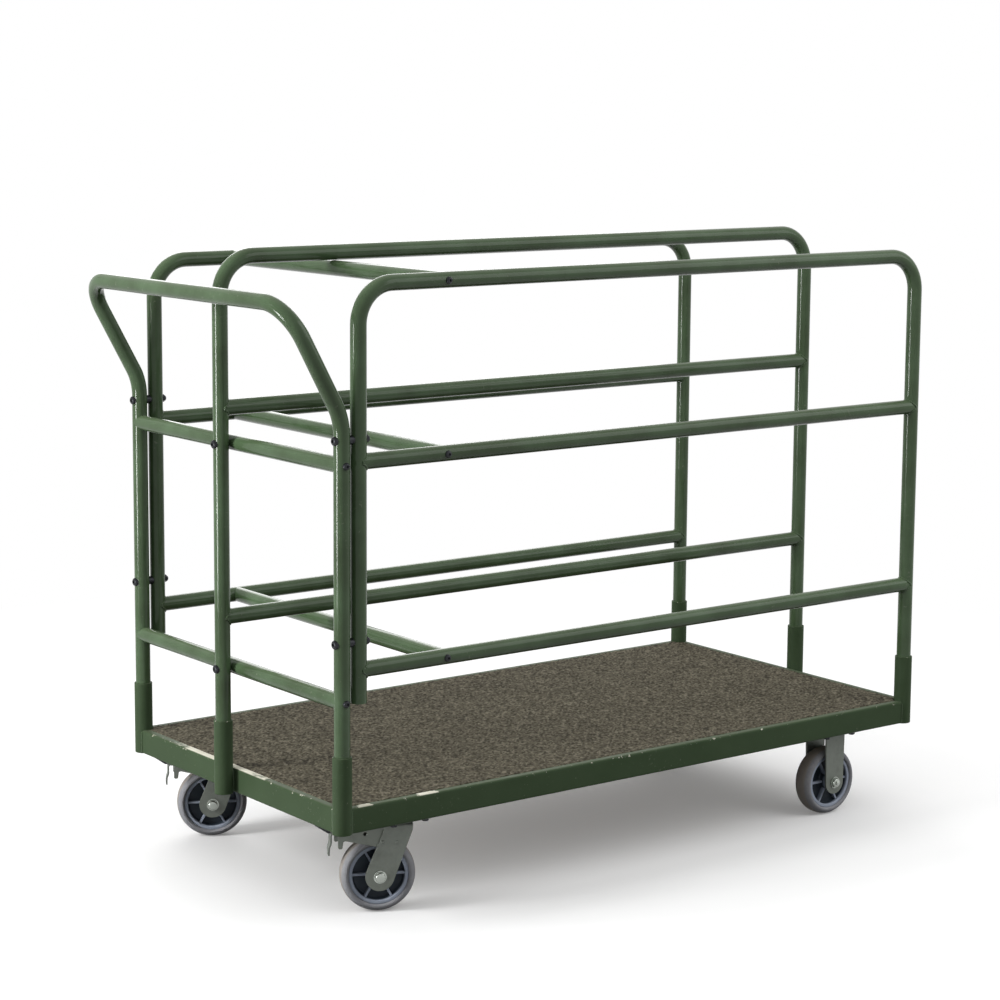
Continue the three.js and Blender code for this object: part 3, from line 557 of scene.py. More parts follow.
def carpet_backing():
    """A flat net of points over the deck, cut away round the corner sockets."""
    low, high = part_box("deck_carpet")
    size = (high[0] - low[0], high[1] - low[1])
    steps = [round(side / LOOP_SPACING) for side in size]
    centre = middle("deck_carpet")
    surface_height = high[2] - PILE_HEIGHT / 2
    cut_radius = SOCKET_RADIUS + SOCKET_CLEARANCE
    mesh = bpy.data.meshes.new("carpet_backing")
    with opened(mesh) as net:
        bmesh.ops.create_grid(net, x_segments=steps[0], y_segments=steps[1], size=0.5)
        for vert in net.verts:
            vert.co = (centre.x + vert.co.x * size[0], centre.y + vert.co.y * size[1], surface_height)
        lost = []
        for corner in ("front_handle", "back_handle", "front_open", "back_open"):
            post = middle(f"post_socket_{corner}").to_2d()
            for vert in net.verts:
                away = vert.co.to_2d() - post
                if away.length < cut_radius - LOOP_SPACING * CUT_SHARE:
                    lost.append(vert)
                elif away.length < cut_radius:
                    vert.co = (*(post + away.normalized() * cut_radius), surface_height)
        bmesh.ops.delete(net, geom=lost, context="VERTS")
    return mesh


def backed(mesh, bottom):
    """Closes an open sheet with straight edges and a flat underside."""
    with opened(mesh) as shape:
        # the skirt is built edge by edge, because an extrusion gives its faces in another order each run
        rim = [edge for edge in shape.edges if edge.is_boundary]
        feet = {}
        for vert in (v for edge in rim for v in edge.verts):
            if vert not in feet:
                feet[vert] = shape.verts.new((*vert.co.xy, bottom), vert)
        for edge in rim:
            a, b = edge.verts
            shape.faces.new((a, b, feet[b], feet[a]), edge.link_faces[0])
        bmesh.ops.holes_fill(shape, edges=[edge for edge in shape.edges if edge.is_boundary], sides=0)
        bmesh.ops.recalc_face_normals(shape, faces=shape.faces)
    return mesh


sizes = {"Pile Height": PILE_HEIGHT, "Pile Spread": PILE_SPREAD, "Seed": PILE_SEED, "Material": carpet_yarn}
loops = through("carpet_pile", carpet_backing(), (pile, sizes))
loops = backed(loops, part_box("deck_carpet")[0][2])
fit("deck_carpet_pile", loops, carpet_yarn, "cart", "carpet", "deck_carpet")


# Handle frame: one steel tube bent up from the back socket, out to the push bar and down to the front socket.
# Two straight rails join its uprights. Their ends are shaped to the uprights and drawn up by screws.
TUBE_RADIUS = 15.875 * MM
TUBE_WALL = 2.4 * MM
TUBE_SIDES = 40
TUBE_CREASE = 50
BEND_STEPS = 14
BEND_RADIUS = 76.2 * MM
HANDLE_LEAN_RADIUS = 120 * MM
HANDLE_LEAN_HEIGHT = 999 * MM
PUSH_BAR_HEIGHT = 1219 * MM
PUSH_BAR_REACH = 122 * MM
END_RAIL_HEIGHTS = {"mid": 911 * MM, "low": 455 * MM}
LEG_FOOT = socket_low[2] + 3 * MM
SEAM_LIFT = 0.3 * MM  # of a weld's middle off the tubes that it joins

bent_tube, given = recipe("bent tube", {"Outside Radius": "Float", "Sides": "Int", "Bend Steps": "Int"})
route = add(bent_tube, "GeometryNodeMeshToCurve", {"Mesh": given["Geometry"]})
bend = add(bent_tube, "GeometryNodeInputNamedAttribute", {"Name": "bend"}, data_type="FLOAT")
bent = {"Curve": route, "Count": given["Bend Steps"], "Radius": bend, "Limit Radius": False}
bent = add(bent_tube, "GeometryNodeFilletCurve", bent, mode="POLY")
ring = {"Resolution": given["Sides"], "Radius": given["Outside Radius"]}
ring = add(bent_tube, "GeometryNodeCurvePrimitiveCircle", ring)
drawn = {"Curve": bent, "Profile Curve": ring, "Scale": 1.0, "Fill Caps": False}
drawn = add(bent_tube, "GeometryNodeCurveToMesh", drawn)
served(bent_tube, given, add(bent_tube, "GeometryNodeSetShadeSmooth", {"Geometry": drawn}))


def walled(mesh):
    """Gives an open tube its wall, on the inside."""
    with opened(mesh) as shape:
        bmesh.ops.recalc_face_normals(shape, faces=shape.faces)
    thick = through(mesh.name, mesh, ("SOLIDIFY", {"thickness": TUBE_WALL, "offset": -1}))
    return smoothed(thick, TUBE_CREASE)


def hoop(name, corners, bends):
    """A tube through corner points, rounded at each by its bend radius, with open ends."""
    seed = bpy.data.meshes.new(name)
    seed.from_pydata(corners, [(i, i + 1) for i in range(len(corners) - 1)], [])
    seed.attributes.new("bend", "FLOAT", "POINT").data.foreach_set("value", [0, *bends, 0])
    sizes = {"Outside Radius": TUBE_RADIUS, "Sides": TUBE_SIDES, "Bend Steps": BEND_STEPS}
    return walled(through(name, seed, (bent_tube, {**sizes, "Material": frame_enamel})))


seams = []  # weld seams, each a list of points, with whether it closes


def rail(name, start, end, meets, welded):
    """A straight tube between the axes of two others, which run along meets, with its ends shaped to them."""
    along = (end - start).normalized()
    up = Vector(meets)
    side = along.cross(up)
    points = []
    for foot, heading in ((start, along), (end, -along)):
        seam = []
        for k in range(TUBE_SIDES):
            angle = 2 * math.pi * k / TUBE_SIDES
            out = side * math.cos(angle) + up * math.sin(angle)
            clear = math.sqrt(max(0, (TUBE_RADIUS - SEAT) ** 2 - (TUBE_RADIUS * math.cos(angle)) ** 2))
            points.append(foot + out * TUBE_RADIUS + heading * clear)
            seam.append(points[-1] + out * SEAM_LIFT + heading * SEAM_LIFT)
        if welded:
            seams.append((seam, True))
    return walled(shell(name, points, sleeve(TUBE_SIDES)))


corner_posts = {side: middle(f"post_socket_{side}_handle").to_2d() for side in ("front", "back")}
upright_x = corner_posts["front"].x


def handle_arm(post):
    """Corners of one side of the handle, from the foot up to the push bar."""
    bar = (upright_x - PUSH_BAR_REACH, post.y, PUSH_BAR_HEIGHT)
    return [(*post, LEG_FOOT), (*post, HANDLE_LEAN_HEIGHT), bar]


handle_corners = handle_arm(corner_posts["back"]) + handle_arm(corner_posts["front"])[::-1]
handle_bends = [HANDLE_LEAN_RADIUS, BEND_RADIUS, BEND_RADIUS, HANDLE_LEAN_RADIUS]
mesh = hoop("handle", handle_corners, handle_bends)
fit("handle_bent_tube", mesh, frame_enamel, "cart", "green_enamel", "handle_tube")
for level_name, height in END_RAIL_HEIGHTS.items():
    ends = [Vector((*corner_posts[side], height)) for side in ("front", "back")]
    fit_green(f"end_rail_{level_name}", rail(f"end_rail_{level_name}", *ends, (0, 0, 1), False))


# Side frames: a hoop of the same tube on each long side, with a short leg bolted beside the handle upright
# and a long leg in the open-end socket. Two straight rails are welded between the legs.
SIDE_TOP = 1250 * MM
SIDE_RAIL_HEIGHTS = {"mid": 915 * MM, "low": 514 * MM}
SHORT_LEG_OFFSET = 38.1 * MM
SHORT_LEG_END = 450 * MM


def fit_frame(name, posts, feet, top, rail_heights):
    """Puts in a hoop between two posts, and the rails that are welded between its legs."""
    corners = [(*posts[0], feet[0]), (*posts[0], top), (*posts[1], top), (*posts[1], feet[1])]
    fit_green(f"{name}_hoop", hoop(f"{name}_hoop", corners, [BEND_RADIUS, BEND_RADIUS]))
    for level_name, height in rail_heights.items():
        node = f"{name}_rail_{level_name}"
        fit_green(node, rail(node, *[Vector((*post, height)) for post in posts], (0, 0, 1), True))


for side, post in corner_posts.items():
    posts = [post + Vector((SHORT_LEG_OFFSET, 0)), middle(f"post_socket_{side}_open").to_2d()]
    fit_frame(side, posts, (SHORT_LEG_END, LEG_FOOT), SIDE_TOP, SIDE_RAIL_HEIGHTS)


# Divider: a taller hoop of the same tube down the middle, in the two sockets outside the end rails.
# Two rails are welded in, and its top lies on the top cross rail.
DIVIDER_RAIL_HEIGHTS = {"mid": 983 * MM, "low": 560 * MM}
divider_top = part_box("divider_hoop")[1][2] - TUBE_RADIUS
divider_posts = [middle(f"post_socket_middle_{end}").to_2d() for end in ("handle", "open")]
fit_frame("divider", divider_posts, (LEG_FOOT, LEG_FOOT), divider_top, DIVIDER_RAIL_HEIGHTS)


# Cross rails: three tubes from side frame to side frame, of the same steel and sprayed with them.
# Their ends are shaped to the side rails, and a screw holds each one.
cross_rail_x = middle("cross_rail_top").x
cross_heights = {"top": SIDE_TOP, **SIDE_RAIL_HEIGHTS}
for level_name, height in cross_heights.items():
    node = f"cross_rail_{level_name}"
    ends = [Vector((cross_rail_x, post.y, height)) for post in corner_posts.values()]
    fit_green(node, rail(node, *ends, (1, 0, 0), False))


# Welds: the beads that join the rails to the hoops, and the sockets to the deck rails.
# A bead is laid in overlapping drops, so it ripples along its length, and it is painted with the frame.
BEAD_RADIUS = 2.0 * MM
BEAD_SIDES = 8
BEAD_STEP = 0.9 * MM
BEAD_SEED = 3
RIPPLE = 4.5 * MM  # real drops are about 2 mm apart, drawn wider so that they show
RIPPLE_SHARE = 0.14  # how much a drop swells
ROUGH_SHARE = 0.08  # how uneven it is
SEAM_MARGINS = (3 * MM, 4 * MM)  # bare lengths below and above an upright seam
MIDDLE_SEAM_OFFSET = (0.7 * MM, 7.5 * MM)  # from the rail's face, and to each side of a middle socket's axis

weld, given = recipe("weld bead", {"Bead Radius": "Float", "Ripple": "Float", "Step": "Float", "Seed": "Int"})
path = add(weld, "GeometryNodeMeshToCurve", {"Mesh": given["Geometry"]})
path = add(weld, "GeometryNodeResampleCurve", {"Curve": path, "Length": given["Step"]}, mode="LENGTH")
run = add(weld, "GeometryNodeSplineParameter").outputs["Length"]
turn = add(weld, "ShaderNodeMath", {0: run, 1: given["Ripple"]}, operation="DIVIDE")
turn = add(weld, "ShaderNodeMath", {0: turn, 1: 2 * math.pi}, operation="MULTIPLY")
wave = add(weld, "ShaderNodeMath", {0: turn}, operation="SINE")
drop = add(weld, "ShaderNodeMath", {0: wave, 1: RIPPLE_SHARE, 2: 1.0}, operation="MULTIPLY_ADD")
rough = {2: -ROUGH_SHARE, 3: ROUGH_SHARE, 8: given["Seed"]}
rough = add(weld, "FunctionNodeRandomValue", rough, data_type="FLOAT")
scale = add(weld, "ShaderNodeMath", {0: drop, 1: rough})
ring = {"Resolution": BEAD_SIDES, "Radius": given["Bead Radius"]}
ring = add(weld, "GeometryNodeCurvePrimitiveCircle", ring)
drawn = {"Curve": path, "Profile Curve": ring, "Scale": scale, "Fill Caps": True}
drawn = add(weld, "GeometryNodeCurveToMesh", drawn)
served(weld, given, add(weld, "GeometryNodeSetShadeSmooth", {"Geometry": drawn}))

# upright seams: where a rail's face meets a corner socket, and on both sides of each middle socket
rail_low, rail_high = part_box("deck_rail_front")
seam_heights = (rail_low[2] + SEAM_MARGINS[0], rail_high[2] - SEAM_MARGINS[1])
end_faces = {"handle": (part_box("deck_rail_handle_end")[0][0], -1)}
end_faces["open"] = (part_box("deck_rail_open_end")[1][0], 1)
side_faces = {"front": (rail_low[1], -1), "back": (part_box("deck_rail_back")[1][1], 1)}
for end_name, (face_x, sign) in end_faces.items():
    seam_feet = []
    for side, (face_y, hand) in side_faces.items():
        post = middle(f"post_socket_{side}_{end_name}")
        reach = math.sqrt(SOCKET_RADIUS**2 - (face_x - post.x) ** 2)
        seam_feet += [(face_x, post.y - hand * reach), (post.x - sign * reach, face_y)]
    post = middle(f"post_socket_middle_{end_name}")
    out, beside = MIDDLE_SEAM_OFFSET
    seam_feet += [(face_x + sign * out, post.y + hand * beside) for hand in (-1, 1)]
    seams += [([Vector((x, y, z)) for z in seam_heights], False) for x, y in seam_feet]

seam_points = []
seam_edges = []
for seam, closes in seams:
    first = len(seam_points)
    seam_points += seam
    seam_edges += [(first + i, first + i + 1) for i in range(len(seam) - 1)]
    if closes:
        seam_edges.append((first + len(seam) - 1, first))
seam_mesh = bpy.data.meshes.new("seams")
seam_mesh.from_pydata(seam_points, seam_edges, [])
sizes = {"Bead Radius": BEAD_RADIUS, "Ripple": RIPPLE, "Step": BEAD_STEP, "Seed": BEAD_SEED}
beads = through("weld_beads", seam_mesh, (weld, {**sizes, "Material": frame_enamel}))
fit("weld_beads", beads, frame_enamel, "cart", "green_enamel")


# Through bolts: button-head bolts of black steel with acorn nuts. Four tie the handle uprights to the side
# frames' short legs, across a spacer, and two tie the divider post to the end rails.
BOLT_HEAD = 9 * MM
BOLT_SHANK = 4 * MM
SADDLE = 2.9 * MM  # the head and nut bed into the round of the tube
NUT_RADIUS = 7 * MM
LEAST_SPACER = 1 * MM
FASTENER = {"sides": 24, "crease": 28}
CORNER_BOLT_HEIGHTS = {"upper": 958 * MM, "lower": 569 * MM}
# radius and height in millimetres, from the hex recess out to the rim, and from the nut's foot out to its tip
BUTTON_HEAD = [(0, 2.2), (2.9, 2.2, "hex"), (2.9, 4.75, "hex"), (4.3, 4.9)]
BUTTON_HEAD += [(6.4, 4.3), (8, 2.9), (8.8, 1.3), (9, 0.2)]
ACORN_NUT = [(7, 0, "hex"), (7, 4.6, "hex"), (6.6, 5.2), (6, 6.6), (4.6, 8), (2.4, 8.8), (0, 9)]

black_steel, tree, place = blank_material("black_oxide_steel")
# black oxide: a thin dark film on steel, rubbed grey in patches of a few millimetres
patch = add(tree, "ShaderNodeTexNoise", {"Vector": place, "Scale": 1 / 0.005, "Detail": 3})
colour = add(tree, "ShaderNodeMix", {0: patch, 6: linear("#121312"), 7: linear("#33353a")}, data_type="RGBA")
gloss = add(tree, "ShaderNodeMapRange", {0: patch, 3: 0.28, 4: 0.5})
surface(tree, {"Base Color": colour, "Metallic": 0.7, "Roughness": gloss})


def profiled(steps, base=0, sign=1):
    """A profile from steps in millimetres, set on a base height, on the side of it that sign gives."""
    return [(r * MM, base + sign * h * MM, *hexed) for r, h, *hexed in steps]


def through_bolt(name, x0, x1, y, z):
    """A bolt along X through tubes at x0 and x1, with a spacer where they stand apart."""
    head = x0 - TUBE_RADIUS
    nut = x1 + TUBE_RADIUS
    spacer = (x0 + TUBE_RADIUS - SADDLE, x1 - TUBE_RADIUS + SADDLE)
    profile = profiled(BUTTON_HEAD, head, -1) + [(BOLT_HEAD, head + SADDLE), (BOLT_SHANK, head + SADDLE)]
    if x1 - x0 > 2 * TUBE_RADIUS + LEAST_SPACER:
        profile += [(BOLT_SHANK, spacer[0]), (BOLT_HEAD, spacer[0])]
        profile += [(BOLT_HEAD, spacer[1]), (BOLT_SHANK, spacer[1])]
    profile += [(BOLT_SHANK, nut - SADDLE), (NUT_RADIUS, nut - SADDLE, "hex")] + profiled(ACORN_NUT, nut)
    mesh = turned(name, profile, **FASTENER)
    mesh.transform(Matrix.Translation((0, y, z)) @ Matrix.Rotation(math.pi / 2, 4, "Y"))
    return mesh


tied = {}
for side, post in corner_posts.items():
    for level_name, height in CORNER_BOLT_HEIGHTS.items():
        tied[f"corner_bolt_{side}_{level_name}"] = (upright_x, upright_x + SHORT_LEG_OFFSET, post.y, height)
for level_name, height in END_RAIL_HEIGHTS.items():
    tied[f"divider_bolt_{level_name}"] = (divider_posts[0].x, upright_x, divider_posts[0].y, height)
for node, ends in tied.items():
    fit(f"{node}_turned", through_bolt(node, *ends), black_steel, "cart", "black_steel", node)


# Rail screws: black button heads on the outside of the side frames, one into each end of every cross rail,
# and on the outside of the handle uprights, one into each end of both end rails.
SCREW_SCALE = (0.8, 0.9)  # against a bolt's head, across and along it
SCREW_SEED = 11

screws, given = recipe("fasteners", {"Fastener": "Object", "Size": "Float", "Seed": "Int"})
shape_of = add(screws, "GeometryNodeObjectInfo", {"Object": given["Fastener"]}).outputs["Geometry"]
facing = add(screws, "GeometryNodeInputNamedAttribute", {"Name": "facing"}, data_type="FLOAT_VECTOR")
# each one stops at its own angle when it is driven home
stop = add(screws, "FunctionNodeRandomValue", {2: 0.0, 3: 2 * math.pi, 8: given["Seed"]}, data_type="FLOAT")
spun = add(screws, "FunctionNodeAxisAngleToRotation", {"Axis": (0, 0, 1), "Angle": stop})
aimed = add(screws, "FunctionNodeAlignRotationToVector", {"Rotation": spun, "Vector": facing}, axis="Z")
placed = {"Points": given["Geometry"], "Instance": shape_of, "Rotation": aimed, "Scale": given["Size"]}
served(screws, given, add(screws, "GeometryNodeInstanceOnPoints", placed))


def driven(name, fastener, places, material, seed):
    """Copies of one fastener, made about Z, at places that each give a point and the way its head faces."""
    pattern = bpy.data.objects.new(f"{name}_pattern", fastener)
    points = bpy.data.meshes.new(name)
    points.from_pydata([point for point, _ in places], [], [])
    ways = [part for _, way in places for part in way]
    points.attributes.new("facing", "FLOAT_VECTOR", "POINT").data.foreach_set("vector", ways)
    values = {"Fastener": pattern, "Size": 1.0, "Seed": seed, "Material": material}
    mesh = through(name, points, (screws, values))
    bpy.data.objects.remove(pattern)
    return mesh


screw_profile = [(0, -SADDLE), (BOLT_HEAD, -SADDLE)] + profiled(BUTTON_HEAD)[::-1]
screw_profile = [(r * SCREW_SCALE[0], h * SCREW_SCALE[1], *hexed) for r, h, *hexed in screw_profile]
screw_places = []
for side, hand in (("front", -1), ("back", 1)):
    face = corner_posts[side].y + hand * TUBE_RADIUS
    screw_places += [((cross_rail_x, face, height), (0, hand, 0)) for height in cross_heights.values()]
    screw_places += [((upright_x, face, height), (0, hand, 0)) for height in END_RAIL_HEIGHTS.values()]
rail_screw = turned("rail_screw", screw_profile, **FASTENER)
mesh = driven("rail_screws", rail_screw, screw_places, black_steel, SCREW_SEED)
fit("rail_screws", mesh, black_steel, "cart", "black_steel")


# Caster channels: a pan of folded plate across each end, let in flush between the long rails' lower flanges.
# The board lies on its walls and the casters bolt on from below, so it is sprayed with the frame.
PAN_ROUND = 1.5 * MM
for place_name in ("handle_end", "open_end"):
    node = f"caster_channel_{place_name}"
    fit_green(node, softened(node, PAN_ROUND), "pan")


# Caster plates and bolts: a stamped plate with round corners on top of every caster, held by four hex bolts.
# The plates are zinc plated, a thin bright film that has gone dull and slightly blotched. The bolts are black.
PLATE_LENGTH = 102 * MM
PLATE_WIDTH = 114 * MM
PLATE_THICKNESS = 7 * MM
PLATE_CORNER = 11 * MM
PLATE_EASE = 1 * MM
PLATE_BOLT_INSET = 13 * MM
PLATE_BOLT_SEED = 5
CORNER_STEPS = 6
# radius and height in millimetres, from under the flange to the top of the head
HEX_BOLT = [(0, -0.5), (8.5, -0.5), (8.5, 1.4), (6.5, 1.4, "hex"), (6.5, 5.6, "hex"), (6.2, 6.4), (0, 6.6)]


def zinc_plate(name, dark, light, grime_share, metallic, smooth, rough):
    """Zinc plating: blotched by the bath, lightly scratched, and filmed with grime that dulls it."""
    material, tree, place = blank_material(name)
    # blotches of the plating bath about 14 mm across
    blotch = add(tree, "ShaderNodeTexNoise", {"Vector": place, "Scale": 1 / 0.014, "Detail": 4, "Roughness": 0.6})
    colour = add(tree, "ShaderNodeMix", {0: blotch, 6: linear(dark), 7: linear(light)}, data_type="RGBA")
    grime = add(tree, "ShaderNodeTexNoise", {"Vector": place, "Scale": 1 / 0.035, "Detail": 5, "Roughness": 0.7})
    colour = tinted(tree, colour, "#54584f", grime, (0.5, 0.75), grime_share)
    # fine upright scratches, about a millimetre wide
    streaks = add(tree, "ShaderNodeMapping", {"Vector": place, "Scale": (900, 900, 60)})
    scratch = add(tree, "ShaderNodeTexNoise", {"Vector": streaks, "Scale": 1, "Detail": 2})
    gloss = add(tree, "ShaderNodeMapRange", {0: blotch, 1: 0.3, 2: 0.7, 3: smooth, 4: rough})
    surface(tree, {"Base Color": colour, "Metallic": metallic, "Roughness": gloss}, scratch, 0.15)
    return material


dull_zinc = zinc_plate("dull_zinc_plate", "#636962", "#7b8078", 0.5, 0.35, 0.36, 0.5)
bright_zinc = zinc_plate("bright_zinc_plate", "#8f948e", "#adb2ab", 0.15, 0.9, 0.12, 0.18)


def slab(name, outline, low, high):
    """A flat piece from its outline in XY, between two heights."""
    points = [(x, y, z) for z in (low, high) for x, y in outline]
    return shell(name, points, sleeve(len(outline)) + caps(len(outline)))


def plate(name, top):
    """A caster plate about Z with its upper face at a height."""
    x, y = PLATE_LENGTH / 2 - PLATE_CORNER, PLATE_WIDTH / 2 - PLATE_CORNER
    outline = []
    for centre, start in (((x, y), 0), ((-x, y), 90), ((-x, -y), 180), ((x, -y), 270)):
        outline += arc(centre, PLATE_CORNER, start, start + 90, CORNER_STEPS)
    return through(name, slab(name, outline, top - PLATE_THICKNESS, top), rounding(PLATE_EASE))


joints = {joint["name"]: joint for joint in frame["joints"]}
plate_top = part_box("caster_plate_front_swivel")[1][2]
plate_bottom = plate_top - PLATE_THICKNESS
casters = {}  # where each stands, and its heading
for side in ("front", "back"):
    axle = joints[f"{side}_swivel_wheel_spin"]["axis"]
    kingpin = joints[f"{side}_caster_swivel"]["pos_m"]
    casters[f"{side}_swivel"] = (kingpin[:2], math.atan2(-axle[0], axle[1]))
    casters[f"{side}_rigid"] = (joints[f"{side}_rigid_wheel_spin"]["pos_m"][:2], 0.0)

for side in ("front", "back"):
    node = f"caster_plate_{side}_swivel"
    place = Matrix.Translation((*casters[f"{side}_swivel"][0], 0))
    fit(f"{node}_stamped", plate(node, plate_top), dull_zinc, "cart", "zinc_steel", node, place=place)

bolt_reach = (PLATE_LENGTH / 2 - PLATE_BOLT_INSET, PLATE_WIDTH / 2 - PLATE_BOLT_INSET)
bolt_places = []
for (x, y), _ in casters.values():
    for along in (-1, 1):
        for across in (-1, 1):
            place = (x + along * bolt_reach[0], y + across * bolt_reach[1], plate_bottom)
            bolt_places.append((place, (0, 0, -1)))
hex_bolt = turned("plate_bolt", profiled(HEX_BOLT), **FASTENER)
mesh = driven("caster_plate_bolts", hex_bolt, bolt_places, black_steel, PLATE_BOLT_SEED)
fit("caster_plate_bolts", mesh, black_steel, "cart", "black_steel")


# Forks: each is one strip of thick zinc-plated steel, pressed so that it runs up one leg, over the crown and
# down the other leg. The rigid ones are welded to their plates, and the swivel ones trail behind the kingpin.
FORK_HALF_WIDTH = 33 * MM
FORK_GAUGE = 4.5 * MM
FORK_BEND = 9 * MM
FORK_BEND_STEPS = 6
FORK_SHOULDER = 14 * MM  # from the crown down to where the legs start to taper
FORK_EASE = 0.9 * MM
TRAIL = 39 * MM
AXLE_HEIGHT = joints["front_rigid_wheel_spin"]["pos_m"][2]
BOSS_ANGLES = range(8, 90, 9)
LEG_ROWS = 14
STRIP_COLUMNS = 10
RIGID_LEG = 28 * MM
RIGID_BOSS = 26 * MM
RIGID_OVERLAP = 0.5 * MM  # of the crown and the plate that it is welded to


def strip_edges(height, shoulder, front, rear, boss_x, boss_radius, tilt):
    """The front and rear edge of a fork leg at a height: straight from the shoulder to the round boss."""
    edges = []
    for sign, top_x in ((-1, front), (1, rear)):
        touch_x = boss_x + sign * boss_radius * math.cos(tilt)
        touch_z = AXLE_HEIGHT + sign * boss_radius * math.sin(tilt)
        if height >= shoulder:
            edges.append(top_x)
        elif height > touch_z:
            share = (height - touch_z) / (shoulder - touch_z)
            edges.append(touch_x + (top_x - touch_x) * share)
        else:
            below = boss_radius**2 - (height - AXLE_HEIGHT) ** 2
            edges.append(boss_x + sign * math.sqrt(max(below, 0)))
    return edges


def fork_strip(name, crown_top, front, rear, boss_x, boss_radius, tilt):
    """A pressed fork about Z, trailing along +X."""
    bottom = AXLE_HEIGHT - boss_radius
    straight = crown_top - FORK_BEND - AXLE_HEIGHT
    leg = [bottom + boss_radius * (1 - math.cos(math.radians(a))) for a in BOSS_ANGLES]
    leg += [AXLE_HEIGHT + straight * k / LEG_ROWS for k in range(LEG_ROWS + 1)]
    rows = [(-FORK_HALF_WIDTH, z) for z in leg]
    centre = (-FORK_HALF_WIDTH + FORK_BEND, crown_top - FORK_BEND)
    rows += arc(centre, FORK_BEND, 180, 90, FORK_BEND_STEPS)[1:]
    rows += [(-y, z) for y, z in reversed(rows)]
    points = []
    for y, z in rows:
        x0, x1 = strip_edges(z, crown_top - FORK_SHOULDER, front, rear, boss_x, boss_radius, tilt)
        points += [(x0 + (x1 - x0) * c / STRIP_COLUMNS, y, z) for c in range(STRIP_COLUMNS + 1)]
    width = STRIP_COLUMNS + 1
    starts = [r * width + c for r in range(len(rows) - 1) for c in range(STRIP_COLUMNS)]
    mesh = bpy.data.meshes.new(name)
    mesh.from_pydata(points, [], [(at, at + 1, at + width + 1, at + width) for at in starts])
    mesh.shade_smooth()
    return through(name, mesh, ("SOLIDIFY", {"thickness": FORK_GAUGE, "offset": -1}), rounding(FORK_EASE))


def caster_place(caster):
    """From a caster's own axes, with the wheel trailing along +X, to the cart's."""
    (x, y), heading = casters[caster]
    return Matrix.Translation((x, y, 0)) @ Matrix.Rotation(heading, 4, "Z")


def joined(name, *meshes):
    """Several meshes as one."""
    whole = bpy.data.meshes.new(name)
    with opened(whole) as shape:
        for mesh in meshes:
            shape.from_mesh(mesh)
    return whole


for side in ("front", "back"):
    caster = f"{side}_rigid"
    node = f"fork_{caster}"
    legs = fork_strip(caster, plate_bottom + RIGID_OVERLAP, -RIGID_LEG, RIGID_LEG, 0, RIGID_BOSS, 0)
    mesh = joined(caster, plate(caster, plate_top), legs)
    fit(f"{node}_pressed", mesh, dull_zinc, "cart", "zinc_steel", node, place=caster_place(caster))

# The swivel forks turn on a ball race and a kingpin. Over the tyre each carries a brake bracket: a channel
# turned upside down and welded between the legs, whose side walls run back to the pedal's pin.
CROWN_FRONT = -27 * MM
CROWN_REAR = 31 * MM
CROWN_GAUGE = 4.5 * MM
SWIVEL_BOSS = 29 * MM
RAKE = 0.3
RACE_GAP = 0.3 * MM  # from the crown to the race above it, and to the nut below
RACE_CREASE = 30
BRACKET_INNER = 24.5 * MM
BRACKET_OUTER = 28.7 * MM
BRACKET_OVERLAP = 0.4 * MM
BRACKET_ROOF = (18 * MM, 86 * MM)
ROOF_GAUGE = 4 * MM
ROOF_EASE = 0.8 * MM
WALL_EASE = 0.6 * MM
BRACKET_HOLE = (68 * MM, 163 * MM)
RIVETS = [(34 * MM, 146 * MM), (5.3 * MM, 144.2 * MM)]
CROSS_PIECE = {"sides": 24, "crease": 30}
# side view of a wall as (x, z), and profiles as (radius, height), in millimetres
WALL_OUTLINE = [(20, 150), (46, 136), (107, 150.5), (111, 149), (113, 136), (115, 134.5), (119.5, 134.5)]
WALL_OUTLINE += [(121.5, 137), (121.5, 163), (118, 169.5), (104, 179)]
DRILL = [(0, -9), (3.6, -9), (3.6, 9), (0, 9)]
RIVET_HALF = [(0, 2), (1.6, 1.9), (3, 1.4), (4, 0.4), (4.2, -0.6), (2, -0.6)]
PIN_HALF = [(0, 2), (3.4, 2), (4, 1), (4, 0), (2.4, 0)]
KINGPIN_NUT = [(0, -5.5), (6, -5.5), (6, -4.5), (10.5, -4.5, "hex"), (10.5, 0, "hex"), (8, 0)]
LOWER_RACE = [(8, 0), (27, 0), (31.5, 1.2)]
RACE_SEAL = [(33, -0.8), (31.6, -0.6), (31.6, 0.6), (33.2, 0.8)]
UPPER_RACE = [(32, -1.2), (29, 0), (0, 0)]
crown_top = joints["front_caster_swivel"]["pos_m"][2]
crown_bottom = crown_top - CROWN_GAUGE
bracket_top = crown_bottom + BRACKET_OVERLAP
pedal_pivot = Vector((98 * MM, 0, 160 * MM))
race_bottom = crown_top + RACE_GAP
race_profile = profiled(KINGPIN_NUT, crown_bottom - RACE_GAP) + profiled(LOWER_RACE, race_bottom)
race_profile += profiled(RACE_SEAL, (plate_bottom + race_bottom) / 2) + profiled(UPPER_RACE, plate_bottom)


def bracket_wall(name, y):
    """One side wall of the brake bracket, upright along the fork, with a hole and a tab at its rear end."""
    outline = [(x * MM, z * MM) for x, z in WALL_OUTLINE]
    outline.append((outline[0][0], bracket_top))
    mesh = slab(name, outline, 0, BRACKET_OUTER - BRACKET_INNER)
    drill_mesh = turned("drill", profiled(DRILL), **CROSS_PIECE)
    drill_mesh.transform(Matrix.Translation((*BRACKET_HOLE, 0)))
    drill = bpy.data.objects.new("drill", drill_mesh)
    mesh = through(name, mesh, ("BOOLEAN", {"object": drill, "operation": "DIFFERENCE", "solver": "EXACT"}))
    bpy.data.objects.remove(drill)
    mesh = through(name, smoothed(mesh), rounding(WALL_EASE))
    mesh.transform(Matrix.Translation((0, y, 0)) @ Matrix.Rotation(math.pi / 2, 4, "X"))
    return mesh


